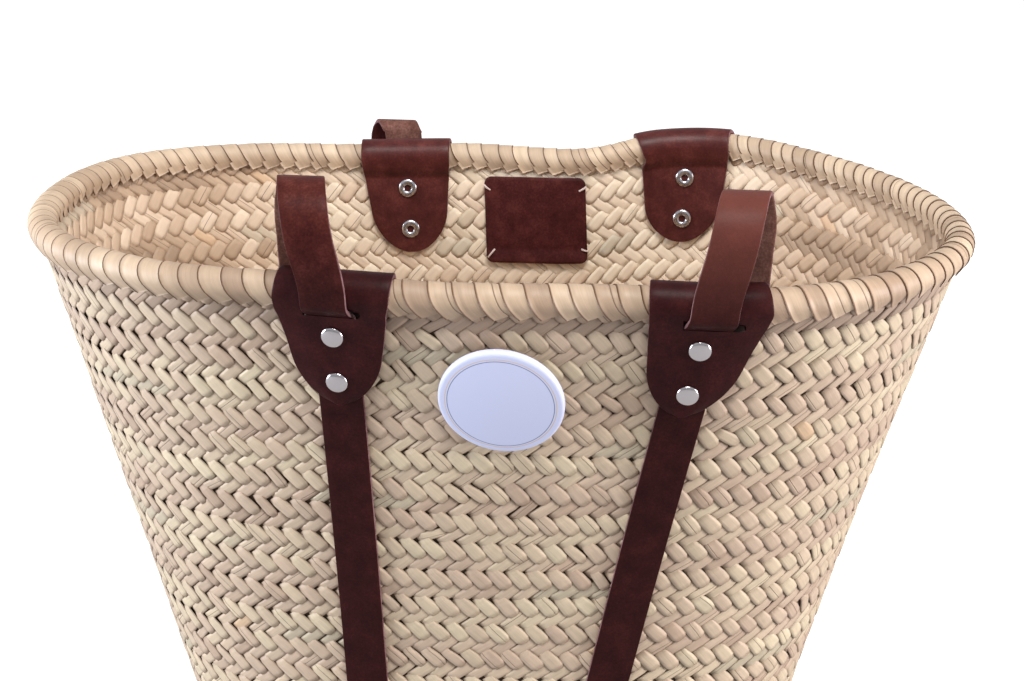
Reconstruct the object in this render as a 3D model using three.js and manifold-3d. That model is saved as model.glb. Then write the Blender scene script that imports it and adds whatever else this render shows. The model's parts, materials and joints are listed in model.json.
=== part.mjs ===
// Straw beach basket, millimetres, +Z up, the broad front towards -Y.
// A palm-leaf body with a wrapped rim hangs in two leather girth straps. The straps run under
// the base, up the walls, under a folded leather tab and out through its slot. There they
// become two long handles: the front one is tucked into the basket, the back one hangs outside.
// The sizes below are measured from the middle of the base. The finished group is then moved so
// that its origin lies under the middle of the whole, on the plane that the straps rest on.

import * as THREE from 'three';
import Module from 'manifold-3d';

const wasm = await Module();
wasm.setup();

// Clearance between pieces that touch, and of anything that lies on the curved woven wall
const clearance = 0.3;
const wovenClearance = 0.7;

// Woven body
const rimTopHeight = 300;
const mouthHalfLength = 223;
const mouthHalfDepth = 132;
const baseHalfLength = 154;
const baseHalfDepth = 95;
const baseSquareness = 2.6;
const wallThickness = 5;
const baseCornerRadius = 16;
const frontBackFlare = 1.4;
const mouthUnevenness = 10;

// The hand-made mouth isn't a true oval. Each point is a share of the half length, a share of
// the half depth, and how far the rim stands above or below its usual height there, as a share
// of the mouth's unevenness.
const mouthLine = [
  [1.00, -0.23, 0.2], [0.96, 0.17, 0.3], [0.81, 0.55, 0.5], [0.58, 0.85, 0.7], [0.38, 0.90, 0.5],
  [0.18, 0.85, -0.3], [-0.11, 0.92, -0.4], [-0.40, 0.91, -0.6], [-0.67, 0.83, -0.5],
  [-0.90, 0.60, -0.4], [-1.00, 0.23, -0.3], [-1.00, -0.23, -0.3], [-0.88, -0.62, -0.2],
  [-0.65, -0.89, -0.1], [-0.38, -0.99, 0], [-0.07, -1.05, 0], [0.25, -1.02, 0],
  [0.52, -1.02, 0], [0.76, -0.87, 0.1], [0.93, -0.57, 0.2],
];

// Rim: a round bundle of leaf on the wall's edge, and a wrapping that covers both
const rimCoreRadius = 5;
const rimWrapThickness = 1.5;
const rimWrapDepth = 6.5;
const rimWrapRoll = 25;
const rimHollowRoll = 55;
const rimCoreSides = 6;

// Leather straps and handles
const strapWidth = 20.5;
const strapThickness = 2.5;
const frontHandleCentre = 17;
const frontHandleHalfSpacing = 81;
const backHandleCentre = 19;
const backHandleHalfSpacing = 78.5;
const strapBaseCentre = -2;
const strapBaseHalfSpacing = 51;
const handleLength = 700;
const archStandOff = 1;

// How the left and the right strap cross over from tab to base: the share of the wall's height
// that the crossing takes, and the power that it follows
const strapCrossing = {
  front: [{ reach: 1, curve: 1 }, { reach: 1, curve: 1 }],
  back: [{ reach: 0.28, curve: 1 }, { reach: 1, curve: 2.5 }],
};

// Each handle's arches: how far above the rim's middle line the bend starts at the left and
// the right, the bend's radius, how far the strap leans sideways on its way up to the bend and
// round it, and the angle at which the hanging loop swings towards the middle. A tight bend takes
// fewer steps from hinge to foot. The hinges stand at two angles of the half turn.
const arches = {
  front: { rises: [29, 29], radius: 19, footLean: 5.5, sideLean: 11, hangLean: 10, steps: 3 },
  back: { rises: [10, -1], radius: 5, footLean: 0.5, sideLean: 8, hangLean: 0, steps: 1 },
};
const halfTurn = 180;
const slotLean = 0.12;
const archHinges = [45, 135];
const hingeOpening = 85;

// Leather tabs folded over the rim
const tabTopWidth = 51;
const outerFlapLowWidth = 40;
const innerFlapLowWidth = 43.5;
const tabThickness = 2.5;
const outerFlapLength = 53;
const innerFlapLength = 54;
const tabTipLength = 22.5;
const tabTipFlat = 5;
const slotMiddle = -6.2;
const slotHeight = 7.4;
const slotSlope = 1;
const slotWidth = 26;
const slotHoleRadius = 1.7;
const cutReach = 2;

// Where a tab's flaps leave the rim, inside and outside: how far down, in radii of the tab's
// bend, and how far its face still stands out, as a share of the way from flap to bend
const tabHugInside = [[-2.67, 0], [-1.45, 0], [-1.2, 0.24], [-0.85, 0.68]];
const tabHugOutside = [[-0.67, 0.64], [-1.33, 0.09], [-2, 0.18], [-2.93, 0]];

// How the strap comes out of its slot: how far up, in halves of the slot's height from its
// middle, and how far out, as a share of the way from the wall to the tab's outer face
const slotExit = [
  [-2.11, 0], [-1.46, 0.01], [-1.08, 0.05], [-0.76, 0.15], [-0.35, 0.35], [0.19, 0.63],
  [0.59, 0.82], [0.97, 0.95], [1.46, 1.03], [2.22, 1.03], [3.03, 1.03],
];

// Heights at which a strap follows the wall, as shares of the way from the rim to the foot
const wallStops = [0.07, 0.125, 0.168, 0.22, 0.33, 0.475, 0.62, 0.766, 0.894];

// Rivets: a domed cap with its post outside, a ring that takes the post inside
const rivetSpacing = 23;
const rivetTipInset = 12.5;
const capRadius = 5.4;
const capEdge = 0.8;
const capDome = 1.3;
const postRadius = 1.5;
const rivetHoleRadius = 1.9;
const ringRadius = 4.6;
const ringHeight = 1.6;

// Leather label sewn to the inside of the back wall
const labelWidth = 56.5;
const labelHeight = 48.5;
const labelThickness = 2;
const labelCentreX = 15.5;
const labelDrop = 44.2;
const labelTurn = 3;
const labelCorner = 4;
const threadRadius = 0.5;
const threadInset = 4;
const threadHoleRadius = 0.9;

// Button badge pinned to the front wall
const badgeRadius = 28.2;
const badgeEdge = 3.4;
const badgeDome = 1.6;
const badgeSheet = 0.6;
const badgeLip = 2.2;
const badgeRoll = 0.7;
const badgeCentreX = 9;
const badgeDrop = 52.3;
const badgeTilt = -6;
const badgeTurn = -7;
const pinWireRadius = 0.6;
const pinHalfLength = 17;
const pinBow = 2.2;

// Worked out from the sizes above
const rimRadius = rimCoreRadius + clearance + rimWrapThickness;
const rimMiddleHeight = rimTopHeight - rimRadius;
const wallTopDepth = rimCoreRadius + clearance;
const halfWall = wallThickness / 2;
const baseUnderside = strapThickness + wovenClearance;
const wallFoot = baseUnderside + baseCornerRadius;
const wallHeight = rimMiddleHeight - wallFoot;
const strapOffset = halfWall + wovenClearance + strapThickness / 2;
const tabOutsideGap = halfWall + wovenClearance + strapThickness + wovenClearance;
const tabInsideGap = halfWall + wovenClearance;
const tabRimGap = rimRadius + wovenClearance;
const lowerRivetDepth = rivetTipInset - outerFlapLength;
const rivetDepths = [lowerRivetDepth + rivetSpacing, lowerRivetDepth];
const strapOverTab = tabRimGap + tabThickness + wovenClearance + strapThickness / 2;
const labelCentreZ = rimTopHeight - labelDrop;
const badgeCentreZ = rimTopHeight - badgeDrop;

// Facets
const roundWall = 60;
const wallRows = 5;
const cornerRows = 3;
const ovalSteps = 120;
const gripBendSteps = 14;

const straw = { color: 0xcbb28c, roughness: 0.75, metalness: 0 };
const paleStraw = { color: 0xdcc69e, roughness: 0.55, metalness: 0 };
const leather = { color: 0x4a2222, roughness: 0.5, metalness: 0 };
const chrome = { color: 0xc8c8cc, roughness: 0.15, metalness: 1 };
const thread = { color: 0xcfc0b0, roughness: 0.8, metalness: 0 };
const whiteFilm = { color: 0xe6e8f2, roughness: 0.3, metalness: 0 };

const vec = (x, y, z) => new THREE.Vector3(x, y, z);
const degrees = (angle) => angle * Math.PI / 180;

// A solid lofted through rings of points, each ring a closed loop with the same count.
// Its two ends are closed by flat caps, or it runs back into its first ring when joined.
function loft(rings, joined = false) {
  const count = rings[0].length;
  const positions = rings.flat().flatMap((p) => [p.x, p.y, p.z]);
  const triangles = [];
  const last = joined ? rings.length : rings.length - 1;
  for (let i = 0; i < last; i += 1) {
    const here = i * count;
    const next = ((i + 1) % rings.length) * count;
    for (let j = 0; j < count; j += 1) {
      const k = (j + 1) % count;
      triangles.push(here + j, here + k, next + k, here + j, next + k, next + j);
    }
  }
  if (!joined) {
    const end = (rings.length - 1) * count;
    for (let j = 1; j < count - 1; j += 1) {
      triangles.push(0, j + 1, j, end, end + j, end + j + 1);
    }
  }
  return outwardSolid(positions, triangles);
}

// Turns every triangle over when the enclosed volume comes out negative.
function outwardSolid(positions, triangles) {
  const corner = (i) => vec(positions[3 * i], positions[3 * i + 1], positions[3 * i + 2]);
  let volume = 0;
  for (let i = 0; i < triangles.length; i += 3) {
    const [a, b, c] = [0, 1, 2].map((k) => corner(triangles[i + k]));
    volume += a.dot(b.cross(c)) / 6;
  }
  if (volume < 0) {
    for (let i = 0; i < triangles.length; i += 3) {
      [triangles[i + 1], triangles[i + 2]] = [triangles[i + 2], triangles[i + 1]];
    }
  }
  const geometry = new THREE.BufferGeometry();
  geometry.setAttribute('position', new THREE.Float32BufferAttribute(positions, 3));
  geometry.setIndex(triangles);
  return geometry;
}

function toManifold(geometry) {
  const position = geometry.getAttribute('position').array;
  const index = geometry.getIndex().array;
  const mesh = { numProp: 3, vertProperties: new Float32Array(position), triVerts: new Uint32Array(index) };
  return new wasm.Manifold(new wasm.Mesh(mesh));
}

function fromManifold(solid) {
  const mesh = solid.getMesh();
  const geometry = new THREE.BufferGeometry();
  geometry.setAttribute('position', new THREE.Float32BufferAttribute(mesh.vertProperties, 3));
  geometry.setIndex(new THREE.Uint32BufferAttribute(mesh.triVerts, 1));
  return geometry;
}

function cut(geometry, cutters) {
  return fromManifold(cutters.reduce((solid, c) => solid.subtract(toManifold(c)), toManifold(geometry)));
}

// A prism with a regular outline between two points, used to drill holes.
function drill(from, to, radius, sides = 8) {
  const axis = to.clone().sub(from).normalize();
  const [across, up] = crossAxes(axis);
  const ring = (centre) => Array.from({ length: sides }, (_, i) => {
    const angle = 2 * Math.PI * i / sides;
    return centre.clone()
      .addScaledVector(across, radius * Math.cos(angle))
      .addScaledVector(up, radius * Math.sin(angle));
  });
  return loft([ring(from), ring(to)]);
}

function crossAxes(axis) {
  const helper = Math.abs(axis.z) < 0.9 ? vec(0, 0, 1) : vec(1, 0, 0);
  const across = helper.clone().cross(axis).normalize();
  return [across, axis.clone().cross(across).normalize()];
}

// A solid turned about the axis through centre. The profile lists [radius, distance out].
function turned(centre, axis, profile, sides) {
  const [across, up] = crossAxes(axis);
  const geometry = new THREE.LatheGeometry(profile.map(([r, d]) => new THREE.Vector2(r, d)), sides);
  const frame = new THREE.Matrix4().makeBasis(up, axis, across);
  frame.setPosition(centre);
  return weld(geometry.applyMatrix4(frame));
}

// Merges the points that a lathe repeats along its seam and at its poles.
function weld(geometry) {
  const source = geometry.getAttribute('position');
  const known = new Map();
  const positions = [];
  const renamed = [];
  for (let i = 0; i < source.count; i += 1) {
    const point = [source.getX(i), source.getY(i), source.getZ(i)];
    const key = point.map((x) => Math.round(x * 1e4)).join();
    if (!known.has(key)) {
      known.set(key, known.size);
      positions.push(...point);
    }
    renamed.push(known.get(key));
  }
  const index = Array.from(geometry.getIndex().array, (i) => renamed[i]);
  const triangles = [];
  for (let i = 0; i < index.length; i += 3) {
    const [a, b, c] = index.slice(i, i + 3);
    if (a !== b && b !== c && c !== a) triangles.push(a, b, c);
  }
  return outwardSolid(positions, triangles);
}

// A flat band of leather along a run of places, each a point with the direction that its grain
// side faces. A place may state its own side direction. An end may be mitred, as [how far the
// flesh side, and how far the grain side, stops short of its last point].
function ribbon(places, startMitre = [0, 0], endMitre = [0, 0]) {
  const rings = places.map(({ point, normal, across }, i) => {
    const before = places[Math.max(i - 1, 0)].point;
    const after = places[Math.min(i + 1, places.length - 1)].point;
    const run = after.clone().sub(before).normalize();
    const free = run.clone().cross(normal).normalize();
    const side = across ? across.clone().multiplyScalar(Math.sign(across.dot(free))) : free;
    const out = across ? normal : side.clone().cross(run).normalize();
    const along = out.clone().cross(side);
    const short = [0, 1].map((k) => (i === 0 ? startMitre[k] : 0)
      - (i === places.length - 1 ? endMitre[k] : 0));
    const corner = (s, o) => point.clone()
      .addScaledVector(side, s * strapWidth / 2)
      .addScaledVector(out, o * strapThickness / 2)
      .addScaledVector(along, short[(o + 1) / 2]);
    return [corner(-1, -1), corner(1, -1), corner(1, 1), corner(-1, 1)];
  });
  return loft(rings);
}

// A round wire or thread along points that lie in one plane.
function wire(points, radius, planeNormal, sides = 6) {
  const rings = points.map((point, i) => {
    const before = points[Math.max(i - 1, 0)];
    const after = points[Math.min(i + 1, points.length - 1)];
    const along = after.clone().sub(before).normalize();
    const level = along.clone().cross(planeNormal).normalize();
    return Array.from({ length: sides }, (_, k) => {
      const angle = 2 * Math.PI * k / sides;
      return point.clone()
        .addScaledVector(planeNormal, radius * Math.cos(angle))
        .addScaledVector(level, radius * Math.sin(angle));
    });
  });
  return loft(rings);
}

// The body's two outlines, as equal steps round each loop, anticlockwise from the +X end
const loopSteps = 720;

const mouthLoop = new THREE.CatmullRomCurve3(
  mouthLine.map(([x, y, rise]) => vec(x * mouthHalfLength, y * mouthHalfDepth, rise * mouthUnevenness)),
  true, 'catmullrom', 0.5);
mouthLoop.arcLengthDivisions = 2 * loopSteps;
const mouthTable = mouthLoop.getSpacedPoints(loopSteps);

const roundedOval = Array.from({ length: ovalSteps }, (_, i) => {
  const angle = 2 * Math.PI * i / ovalSteps;
  const share = (value) => Math.sign(value) * Math.abs(value) ** (2 / baseSquareness);
  return vec(baseHalfLength * share(Math.cos(angle)), baseHalfDepth * share(Math.sin(angle)), 0);
});
const baseLoop = new THREE.CatmullRomCurve3(roundedOval, true, 'catmullrom', 0.5);
baseLoop.arcLengthDivisions = 2 * loopSteps;
const baseTable = baseLoop.getSpacedPoints(loopSteps);

function onLoop(table, u) {
  const place = ((u % 1) + 1) % 1 * loopSteps;
  const low = Math.floor(place);
  return table[low].clone().lerp(table[low + 1], place - low);
}

// The middle of the wall: u runs round the basket, v from the wall's foot to the rim.
function wallMiddle(u, v) {
  const base = onLoop(baseTable, u);
  const mouth = onLoop(mouthTable, u);
  const height = Math.max(v, 0);
  return vec(
    base.x + (mouth.x - base.x) * height,
    base.y + (mouth.y - base.y) * height ** frontBackFlare,
    wallFoot + (rimMiddleHeight + mouth.z - wallFoot) * height);
}

// The wall's own axes at a place: along it, up it, and straight out of it.
function wallAxes(u, v) {
  const step = 0.002;
  const along = wallMiddle(u + step, v).sub(wallMiddle(u - step, v)).normalize();
  const rise = wallMiddle(u, v + step).sub(wallMiddle(u, Math.max(v - step, 0)));
  const out = along.clone().cross(rise).normalize();
  return { point: wallMiddle(u, v), along, out, up: out.clone().cross(along) };
}

const heightShare = (u, z) =>
  (z - wallFoot) / (rimMiddleHeight + onLoop(mouthTable, u).z - wallFoot);

// The place round the front (-1) or back (+1) wall that lies at this x at this height.
function roundAt(side, x, z) {
  let [low, high] = side < 0 ? [0.55, 0.97] : [0.47, 0.03];
  for (let i = 0; i < 40; i += 1) {
    const middle = (low + high) / 2;
    if (wallMiddle(middle, heightShare(middle, z)).x < x) low = middle;
    else high = middle;
  }
  return (low + high) / 2;
}

// A point at x on the front or back wall, at depth below (negative) the rim's middle, measured
// down the wall, and at an offset out of the wall's middle.
function atRim(side, x, depth, offset) {
  const u = roundAt(side, x, rimMiddleHeight + depth);
  const rim = wallAxes(u, 1);
  if (depth > -rimWrapDepth) {
    return rim.point.addScaledVector(rim.up, depth).addScaledVector(rim.out, offset);
  }
  const v = 1 + depth / (rimMiddleHeight + onLoop(mouthTable, u).z - wallFoot);
  const wall = wallAxes(u, v);
  return wall.point.addScaledVector(wall.out, offset);
}

function outAt(side, x, depth) {
  const u = roundAt(side, x, rimMiddleHeight + depth);
  return wallAxes(u, 1 + depth / (rimMiddleHeight + onLoop(mouthTable, u).z - wallFoot)).out;
}

const rimHeightAt = (side, x) =>
  rimMiddleHeight + onLoop(mouthTable, roundAt(side, x, rimMiddleHeight)).z;

// Woven body: one shell, outside from the base's middle to the top edge, inside back down
function cornerRing(angle, radius) {
  return Array.from({ length: roundWall }, (_, i) => {
    const u = i / roundWall;
    const out = wallAxes(u, 0).out.setZ(0).normalize();
    const inset = halfWall - baseCornerRadius + radius * Math.sin(angle);
    return onLoop(baseTable, u).addScaledVector(out, inset).setZ(wallFoot - radius * Math.cos(angle));
  });
}

function wallRing(depthShare, offset) {
  return Array.from({ length: roundWall }, (_, i) => {
    const u = i / roundWall;
    const top = 1 - wallTopDepth / (rimMiddleHeight + onLoop(mouthTable, u).z - wallFoot);
    const wall = wallAxes(u, depthShare * top);
    return wall.point.addScaledVector(wall.out, offset);
  });
}

function wovenBody() {
  const outside = [];
  const inside = [];
  for (let i = 0; i < cornerRows; i += 1) {
    const angle = degrees(85 * i / cornerRows);
    outside.push(cornerRing(angle, baseCornerRadius));
    inside.push(cornerRing(angle, baseCornerRadius - wallThickness));
  }
  for (let i = 0; i <= wallRows; i += 1) {
    outside.push(wallRing(i / wallRows, halfWall));
    inside.push(wallRing(i / wallRows, -halfWall));
  }
  return loft([...outside, ...inside.reverse()]);
}

// Rim sections are drawn as [out of the wall, up the wall] about the rim's middle line.
function rimSolid(section) {
  const rings = Array.from({ length: roundWall }, (_, i) => {
    const wall = wallAxes(i / roundWall, 1);
    return section.map(([out, up]) =>
      wall.point.clone().addScaledVector(wall.out, out).addScaledVector(wall.up, up));
  });
  return loft(rings, true);
}

const arcPoints = (radius, from, to, count) => Array.from({ length: count + 1 }, (_, i) => {
  const angle = degrees(from + (to - from) * i / count);
  return [radius * Math.cos(angle), radius * Math.sin(angle)];
});

const rimCoreSection = arcPoints(rimCoreRadius, 0, 360 - 360 / rimCoreSides, rimCoreSides - 1);

function rimWrapSection() {
  const room = rimCoreRadius + 2 * clearance;
  const legInside = halfWall + wovenClearance;
  const legOutside = legInside + rimWrapThickness;
  return [
    [legOutside, -rimWrapDepth], ...arcPoints(rimRadius, -rimWrapRoll, halfTurn + rimWrapRoll, 5),
    [-legOutside, -rimWrapDepth], [-legInside, -rimWrapDepth],
    ...arcPoints(room, halfTurn + rimHollowRoll, -rimHollowRoll, 5), [legInside, -rimWrapDepth],
  ];
}

// Leather tabs
const tabs = [
  { name: 'front_left', side: -1, hand: -1 },
  { name: 'front_right', side: -1, hand: 1 },
  { name: 'back_left', side: 1, hand: -1 },
  { name: 'back_right', side: 1, hand: 1 },
];

const tabX = (side, hand) => (side < 0
  ? frontHandleCentre + hand * frontHandleHalfSpacing
  : backHandleCentre + hand * backHandleHalfSpacing);
const strapBaseX = (hand) => strapBaseCentre + hand * strapBaseHalfSpacing;

// Where a strap's middle runs: from its tab at the rim towards its place under the base.
function strapX(side, hand, depth) {
  const { reach, curve } = strapCrossing[side < 0 ? 'front' : 'back'][(hand + 1) / 2];
  const share = Math.min(Math.max(-depth / (wallHeight * reach), 0), 1);
  return tabX(side, hand) + (strapBaseX(hand) - tabX(side, hand)) * share ** curve;
}

// The tab's inner face round the rim, as [depth, offset, half width], from the tip of the
// inner flap up over the rim to the tip of the outer flap
function tabStations() {
  const widthAt = (depth, { length, low }) => {
    const share = Math.max(-depth / (length - tabTipLength), 0);
    return (tabTopWidth + (low - tabTopWidth) * share) / 2;
  };
  const tip = (flap) => [0, 0.05, 0.2, 0.5, 1].map((t) => {
    const depth = -flap.length + t * tabTipLength;
    const round = widthAt(depth, flap) * Math.sqrt(1 - (1 - t) ** 2);
    return [depth, round + (t === 0 ? tabTipFlat / 2 : 0)];
  });
  const innerFlap = { length: innerFlapLength, low: innerFlapLowWidth };
  const outerFlap = { length: outerFlapLength, low: outerFlapLowWidth };
  const inner = tip(innerFlap).map(([depth, half]) => [depth, -tabInsideGap, half]);
  const outer = tip(outerFlap).map(([depth, half]) => [depth, tabOutsideGap, half]);
  const hug = (stops, gap, flap) => stops.map(([down, share]) => {
    const depth = down * tabRimGap;
    return [depth, gap + share * (tabRimGap - gap), widthAt(depth, flap)];
  });
  const inside = hug(tabHugInside, tabInsideGap, innerFlap);
  const over = arcPoints(tabRimGap, halfTurn, 0, 9).map(([offset, depth]) => [depth, offset]);
  return [
    ...inner,
    ...inside.map(([depth, offset, half]) => [depth, -offset, half]),
    ...over.map(([depth, offset]) => [depth, offset, tabTopWidth / 2]),
    ...hug(tabHugOutside, tabOutsideGap, outerFlap),
    ...outer.reverse(),
  ];
}

const tabColumns = [-1, -0.5, 0, 0.5, 1];

function tabSolid({ side, hand }) {
  const stations = tabStations();
  const outwards = stations.map(([depth, offset], i) => {
    const before = stations[Math.max(i - 1, 0)];
    const after = stations[Math.min(i + 1, stations.length - 1)];
    const run = Math.hypot(after[0] - before[0], after[1] - before[1]);
    return [-(after[1] - before[1]) / run, (after[0] - before[0]) / run];
  });
  const rings = stations.map(([depth, offset, half], i) => {
    const [moreDepth, moreOffset] = outwards[i].map((part) => -part * tabThickness);
    const middle = strapX(side, hand, depth);
    const face = (d, o) => tabColumns.map((share) => atRim(side, middle + share * half, d, o));
    return [...face(depth, offset), ...face(depth + moreDepth, offset + moreOffset).reverse()];
  });
  const cutters = rivetDepths.map((depth) => rivetDrill(side, hand, depth));
  return cut(loft(rings), [...cutters, ...slotCutters(side, hand)]);
}

function slotCutters(side, hand) {
  const middle = strapX(side, hand, slotMiddle) + hand * slotLean * slotHeight / 2;
  const [near, far] = [tabOutsideGap - cutReach, tabRimGap + tabThickness + cutReach];
  const rise = (offset) => slotSlope * (offset - (near + far) / 2);
  const ring = (offset) => [[-1, -1], [1, -1], [1, 1], [-1, 1]].map(([a, b]) =>
    atRim(side, middle + a * slotWidth / 2, slotMiddle + b * slotHeight / 2 + rise(offset), offset));
  const low = slotMiddle - slotHeight / 2 + slotHoleRadius;
  const end = (offset) => atRim(side, middle + slotWidth / 2, low + rise(offset), offset);
  return [loft([ring(near), ring(far)]), drill(end(near), end(far), slotHoleRadius)];
}

function rivetDrill(side, hand, depth) {
  const x = strapX(side, hand, depth);
  const out = outAt(side, x, depth);
  const centre = atRim(side, x, depth, 0);
  const reach = tabOutsideGap + tabThickness + cutReach;
  return drill(
    centre.clone().addScaledVector(out, -reach),
    centre.clone().addScaledVector(out, reach), rivetHoleRadius);
}

// Rivet cap with its post, and the ring that the post ends in
function rivetCap(side, hand, depth) {
  const x = strapX(side, hand, depth);
  const seat = tabOutsideGap + tabThickness + clearance;
  const postEnd = -(tabInsideGap + tabThickness + clearance);
  const profile = [
    [0, postEnd], [postRadius, postEnd], [postRadius, seat], [capRadius, seat],
    [capRadius, seat + capEdge], [capRadius * 0.7, seat + capEdge + capDome * 0.75],
    [0, seat + capEdge + capDome],
  ];
  return turned(atRim(side, x, depth, 0), outAt(side, x, depth), profile, 12);
}

function rivetRing(side, hand, depth) {
  const x = strapX(side, hand, depth);
  const seat = -(tabInsideGap + tabThickness + clearance);
  const profile = [
    [rivetHoleRadius, seat], [ringRadius, seat], [ringRadius, seat - ringHeight * 0.5],
    [ringRadius * 0.75, seat - ringHeight], [rivetHoleRadius, seat - ringHeight], [rivetHoleRadius, seat],
  ];
  return turned(atRim(side, x, depth, 0), outAt(side, x, depth), profile, 12);
}

// Girth straps: one each side, from the front arch down the wall, under the base, up the back.
function wallRun(side, hand) {
  return wallStops.map((stop) => {
    const depth = -stop * wallHeight;
    const x = strapX(side, hand, depth);
    return { point: atRim(side, x, depth, strapOffset), normal: outAt(side, x, depth) };
  });
}

function cornerRun(side, hand) {
  const x = strapBaseX(hand);
  const u = roundAt(side, x, wallFoot);
  const out = wallAxes(u, 0).out.setZ(0).normalize();
  const radius = baseCornerRadius + wovenClearance + strapThickness / 2;
  return [90, 68, 45, 22, 0].map((degree) => {
    const angle = degrees(degree);
    const inset = halfWall - baseCornerRadius + radius * Math.sin(angle);
    const point = onLoop(baseTable, u).addScaledVector(out, inset);
    point.z = wallFoot - radius * Math.cos(angle);
    const normal = out.clone().multiplyScalar(Math.sin(angle)).setZ(-Math.cos(angle));
    return { point, normal };
  });
}

// From under the tab out through its slot and up over the tab's face, as far as this height.
function slotRun(side, hand, height) {
  const path = slotExit.map(([up, share]) => [slotMiddle + up * slotHeight / 2, share]);
  const points = path.map(([depth, share]) => {
    const x = strapX(side, hand, depth) + hand * slotLean * (depth - path[0][0]);
    return atRim(side, x, depth, strapOffset + share * (strapOverTab - strapOffset));
  });
  const across = wallAxes(roundAt(side, tabX(side, hand), rimMiddleHeight), 1).along;
  const places = points.map((point, i) => {
    const before = points[Math.max(i - 1, 0)];
    const after = points[Math.min(i + 1, points.length - 1)];
    const normal = across.clone().cross(after.clone().sub(before)).normalize();
    return { point, normal, across };
  });
  return places.filter(({ point }) => point.z < height - strapThickness / 2);
}

// Both arches of a handle bend about one line, so that this line can be the hinge of both.
// The front handle folds over the rim with its grain outside, into the basket. The back one
// folds away from the rim with its grain inside the bend, and hangs behind the basket.
function archOf(side) {
  const shape = side < 0 ? arches.front : arches.back;
  const feet = [-1, 1].map((hand, i) => {
    const x = tabX(side, hand);
    const height = rimHeightAt(side, x) + shape.rises[i];
    const start = slotRun(side, hand, height).at(-1).point;
    const level = Math.min(shape.rises[i], start.z - rimHeightAt(side, x) + strapThickness);
    const { y } = atRim(side, x, level, strapOverTab);
    return vec(start.x + hand * shape.footLean, y + side * archStandOff, height);
  });
  const axis = feet[1].clone().sub(feet[0]).normalize();
  const ahead = vec(0, 0, 1).cross(axis).normalize();
  return { ...shape, side, feet, axis, ahead, up: axis.clone().cross(ahead) };
}

const footHeight = (arch, hand) => arch.feet[(hand + 1) / 2].z;

// A place on the arch at an angle of its half turn, 0 where it leaves the slot's run.
function archPlace(arch, hand, angle) {
  const turn = degrees(angle);
  const lean = arch.sideLean * angle / halfTurn;
  const point = arch.feet[(hand + 1) / 2].clone()
    .addScaledVector(arch.axis, hand * lean)
    .addScaledVector(arch.ahead, arch.radius * (1 - Math.cos(turn)))
    .addScaledVector(arch.up, arch.radius * Math.sin(turn));
  const normal = arch.ahead.clone().multiplyScalar(arch.side * Math.cos(turn))
    .addScaledVector(arch.up, -arch.side * Math.sin(turn));
  return { point, normal, across: arch.axis };
}

const archRun = (arch, hand, from, to, steps) =>
  Array.from({ length: steps + 1 }, (_, i) => archPlace(arch, hand, from + (to - from) * i / steps));

// Both ends at a hinge are cut back so that the strap can straighten about its hollow side.
function hingeMitre(arch) {
  const tight = clearance / 2;
  const open = tight + strapThickness * Math.tan(degrees(hingeOpening / 2));
  return arch.side < 0 ? [tight, open] : [open, tight];
}

function girthStrap(hand) {
  const half = (side) => {
    const arch = archOf(side);
    return [
      ...archRun(arch, hand, archHinges[0], 0, arch.steps),
      ...slotRun(side, hand, footHeight(arch, hand)).reverse(),
      ...wallRun(side, hand), ...cornerRun(side, hand),
    ];
  };
  const places = [...half(-1), ...half(1).reverse()];
  const strap = ribbon(places, hingeMitre(archOf(-1)), hingeMitre(archOf(1)));
  const drills = [-1, 1].flatMap((side) => rivetDepths.map((depth) => rivetDrill(side, hand, depth)));
  return cut(strap, drills);
}

function crownLink(side, hand) {
  const arch = archOf(side);
  const run = archRun(arch, hand, archHinges[0], archHinges[1], 2 * arch.steps);
  return ribbon(run, hingeMitre(arch), hingeMitre(arch));
}

// The loop that hangs from both arches. Each leg turns a quarter round on its way down, so
// that the strap bends flat round the bottom, its grain outside.
function grip(side) {
  const arch = archOf(side);
  const end = halfTurn - arch.hangLean;
  const feet = [-1, 1].map((hand) => archPlace(arch, hand, end));
  const half = feet[0].point.distanceTo(feet[1].point) / 2;
  const middle = feet[0].point.clone().lerp(feet[1].point, 0.5);
  const archLength = 2 * Math.PI * arch.radius * end / halfTurn;
  const rise = arch.rises[0] + arch.rises[1];
  const leg = (handleLength - archLength - rise - Math.PI * half) / 2;
  const down = arch.ahead.clone().multiplyScalar(Math.sin(degrees(arch.hangLean)))
    .addScaledVector(arch.up, -Math.cos(degrees(arch.hangLean)));
  const legRun = (hand) => [0.15, 0.3, 0.45, 0.6, 0.75, 0.9].map((share) => {
    const turn = degrees(90 * share);
    const point = feet[(hand + 1) / 2].point.clone().addScaledVector(down, leg * share);
    const normal = feet[0].normal.clone().multiplyScalar(Math.cos(turn))
      .addScaledVector(arch.axis, hand * Math.sin(turn));
    return { point, normal };
  });
  const bend = Array.from({ length: gripBendSteps + 1 }, (_, i) => {
    const turn = Math.PI * i / gripBendSteps;
    const radial = down.clone().multiplyScalar(Math.sin(turn))
      .addScaledVector(arch.axis, -Math.cos(turn));
    const point = middle.clone().addScaledVector(down, leg).addScaledVector(radial, half);
    return { point, normal: radial };
  });
  const places = [
    ...archRun(arch, -1, archHinges[1], end, arch.steps), ...legRun(-1), ...bend,
    ...legRun(1).reverse(), ...archRun(arch, 1, archHinges[1], end, arch.steps).reverse(),
  ];
  return ribbon(places, hingeMitre(arch), hingeMitre(arch));
}

// Leather label and its corner threads, on the inside of the back wall
function onWall(side, x, z, offset) {
  const u = roundAt(side, x, z);
  const wall = wallAxes(u, heightShare(u, z));
  return wall.point.addScaledVector(wall.out, offset);
}

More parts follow.
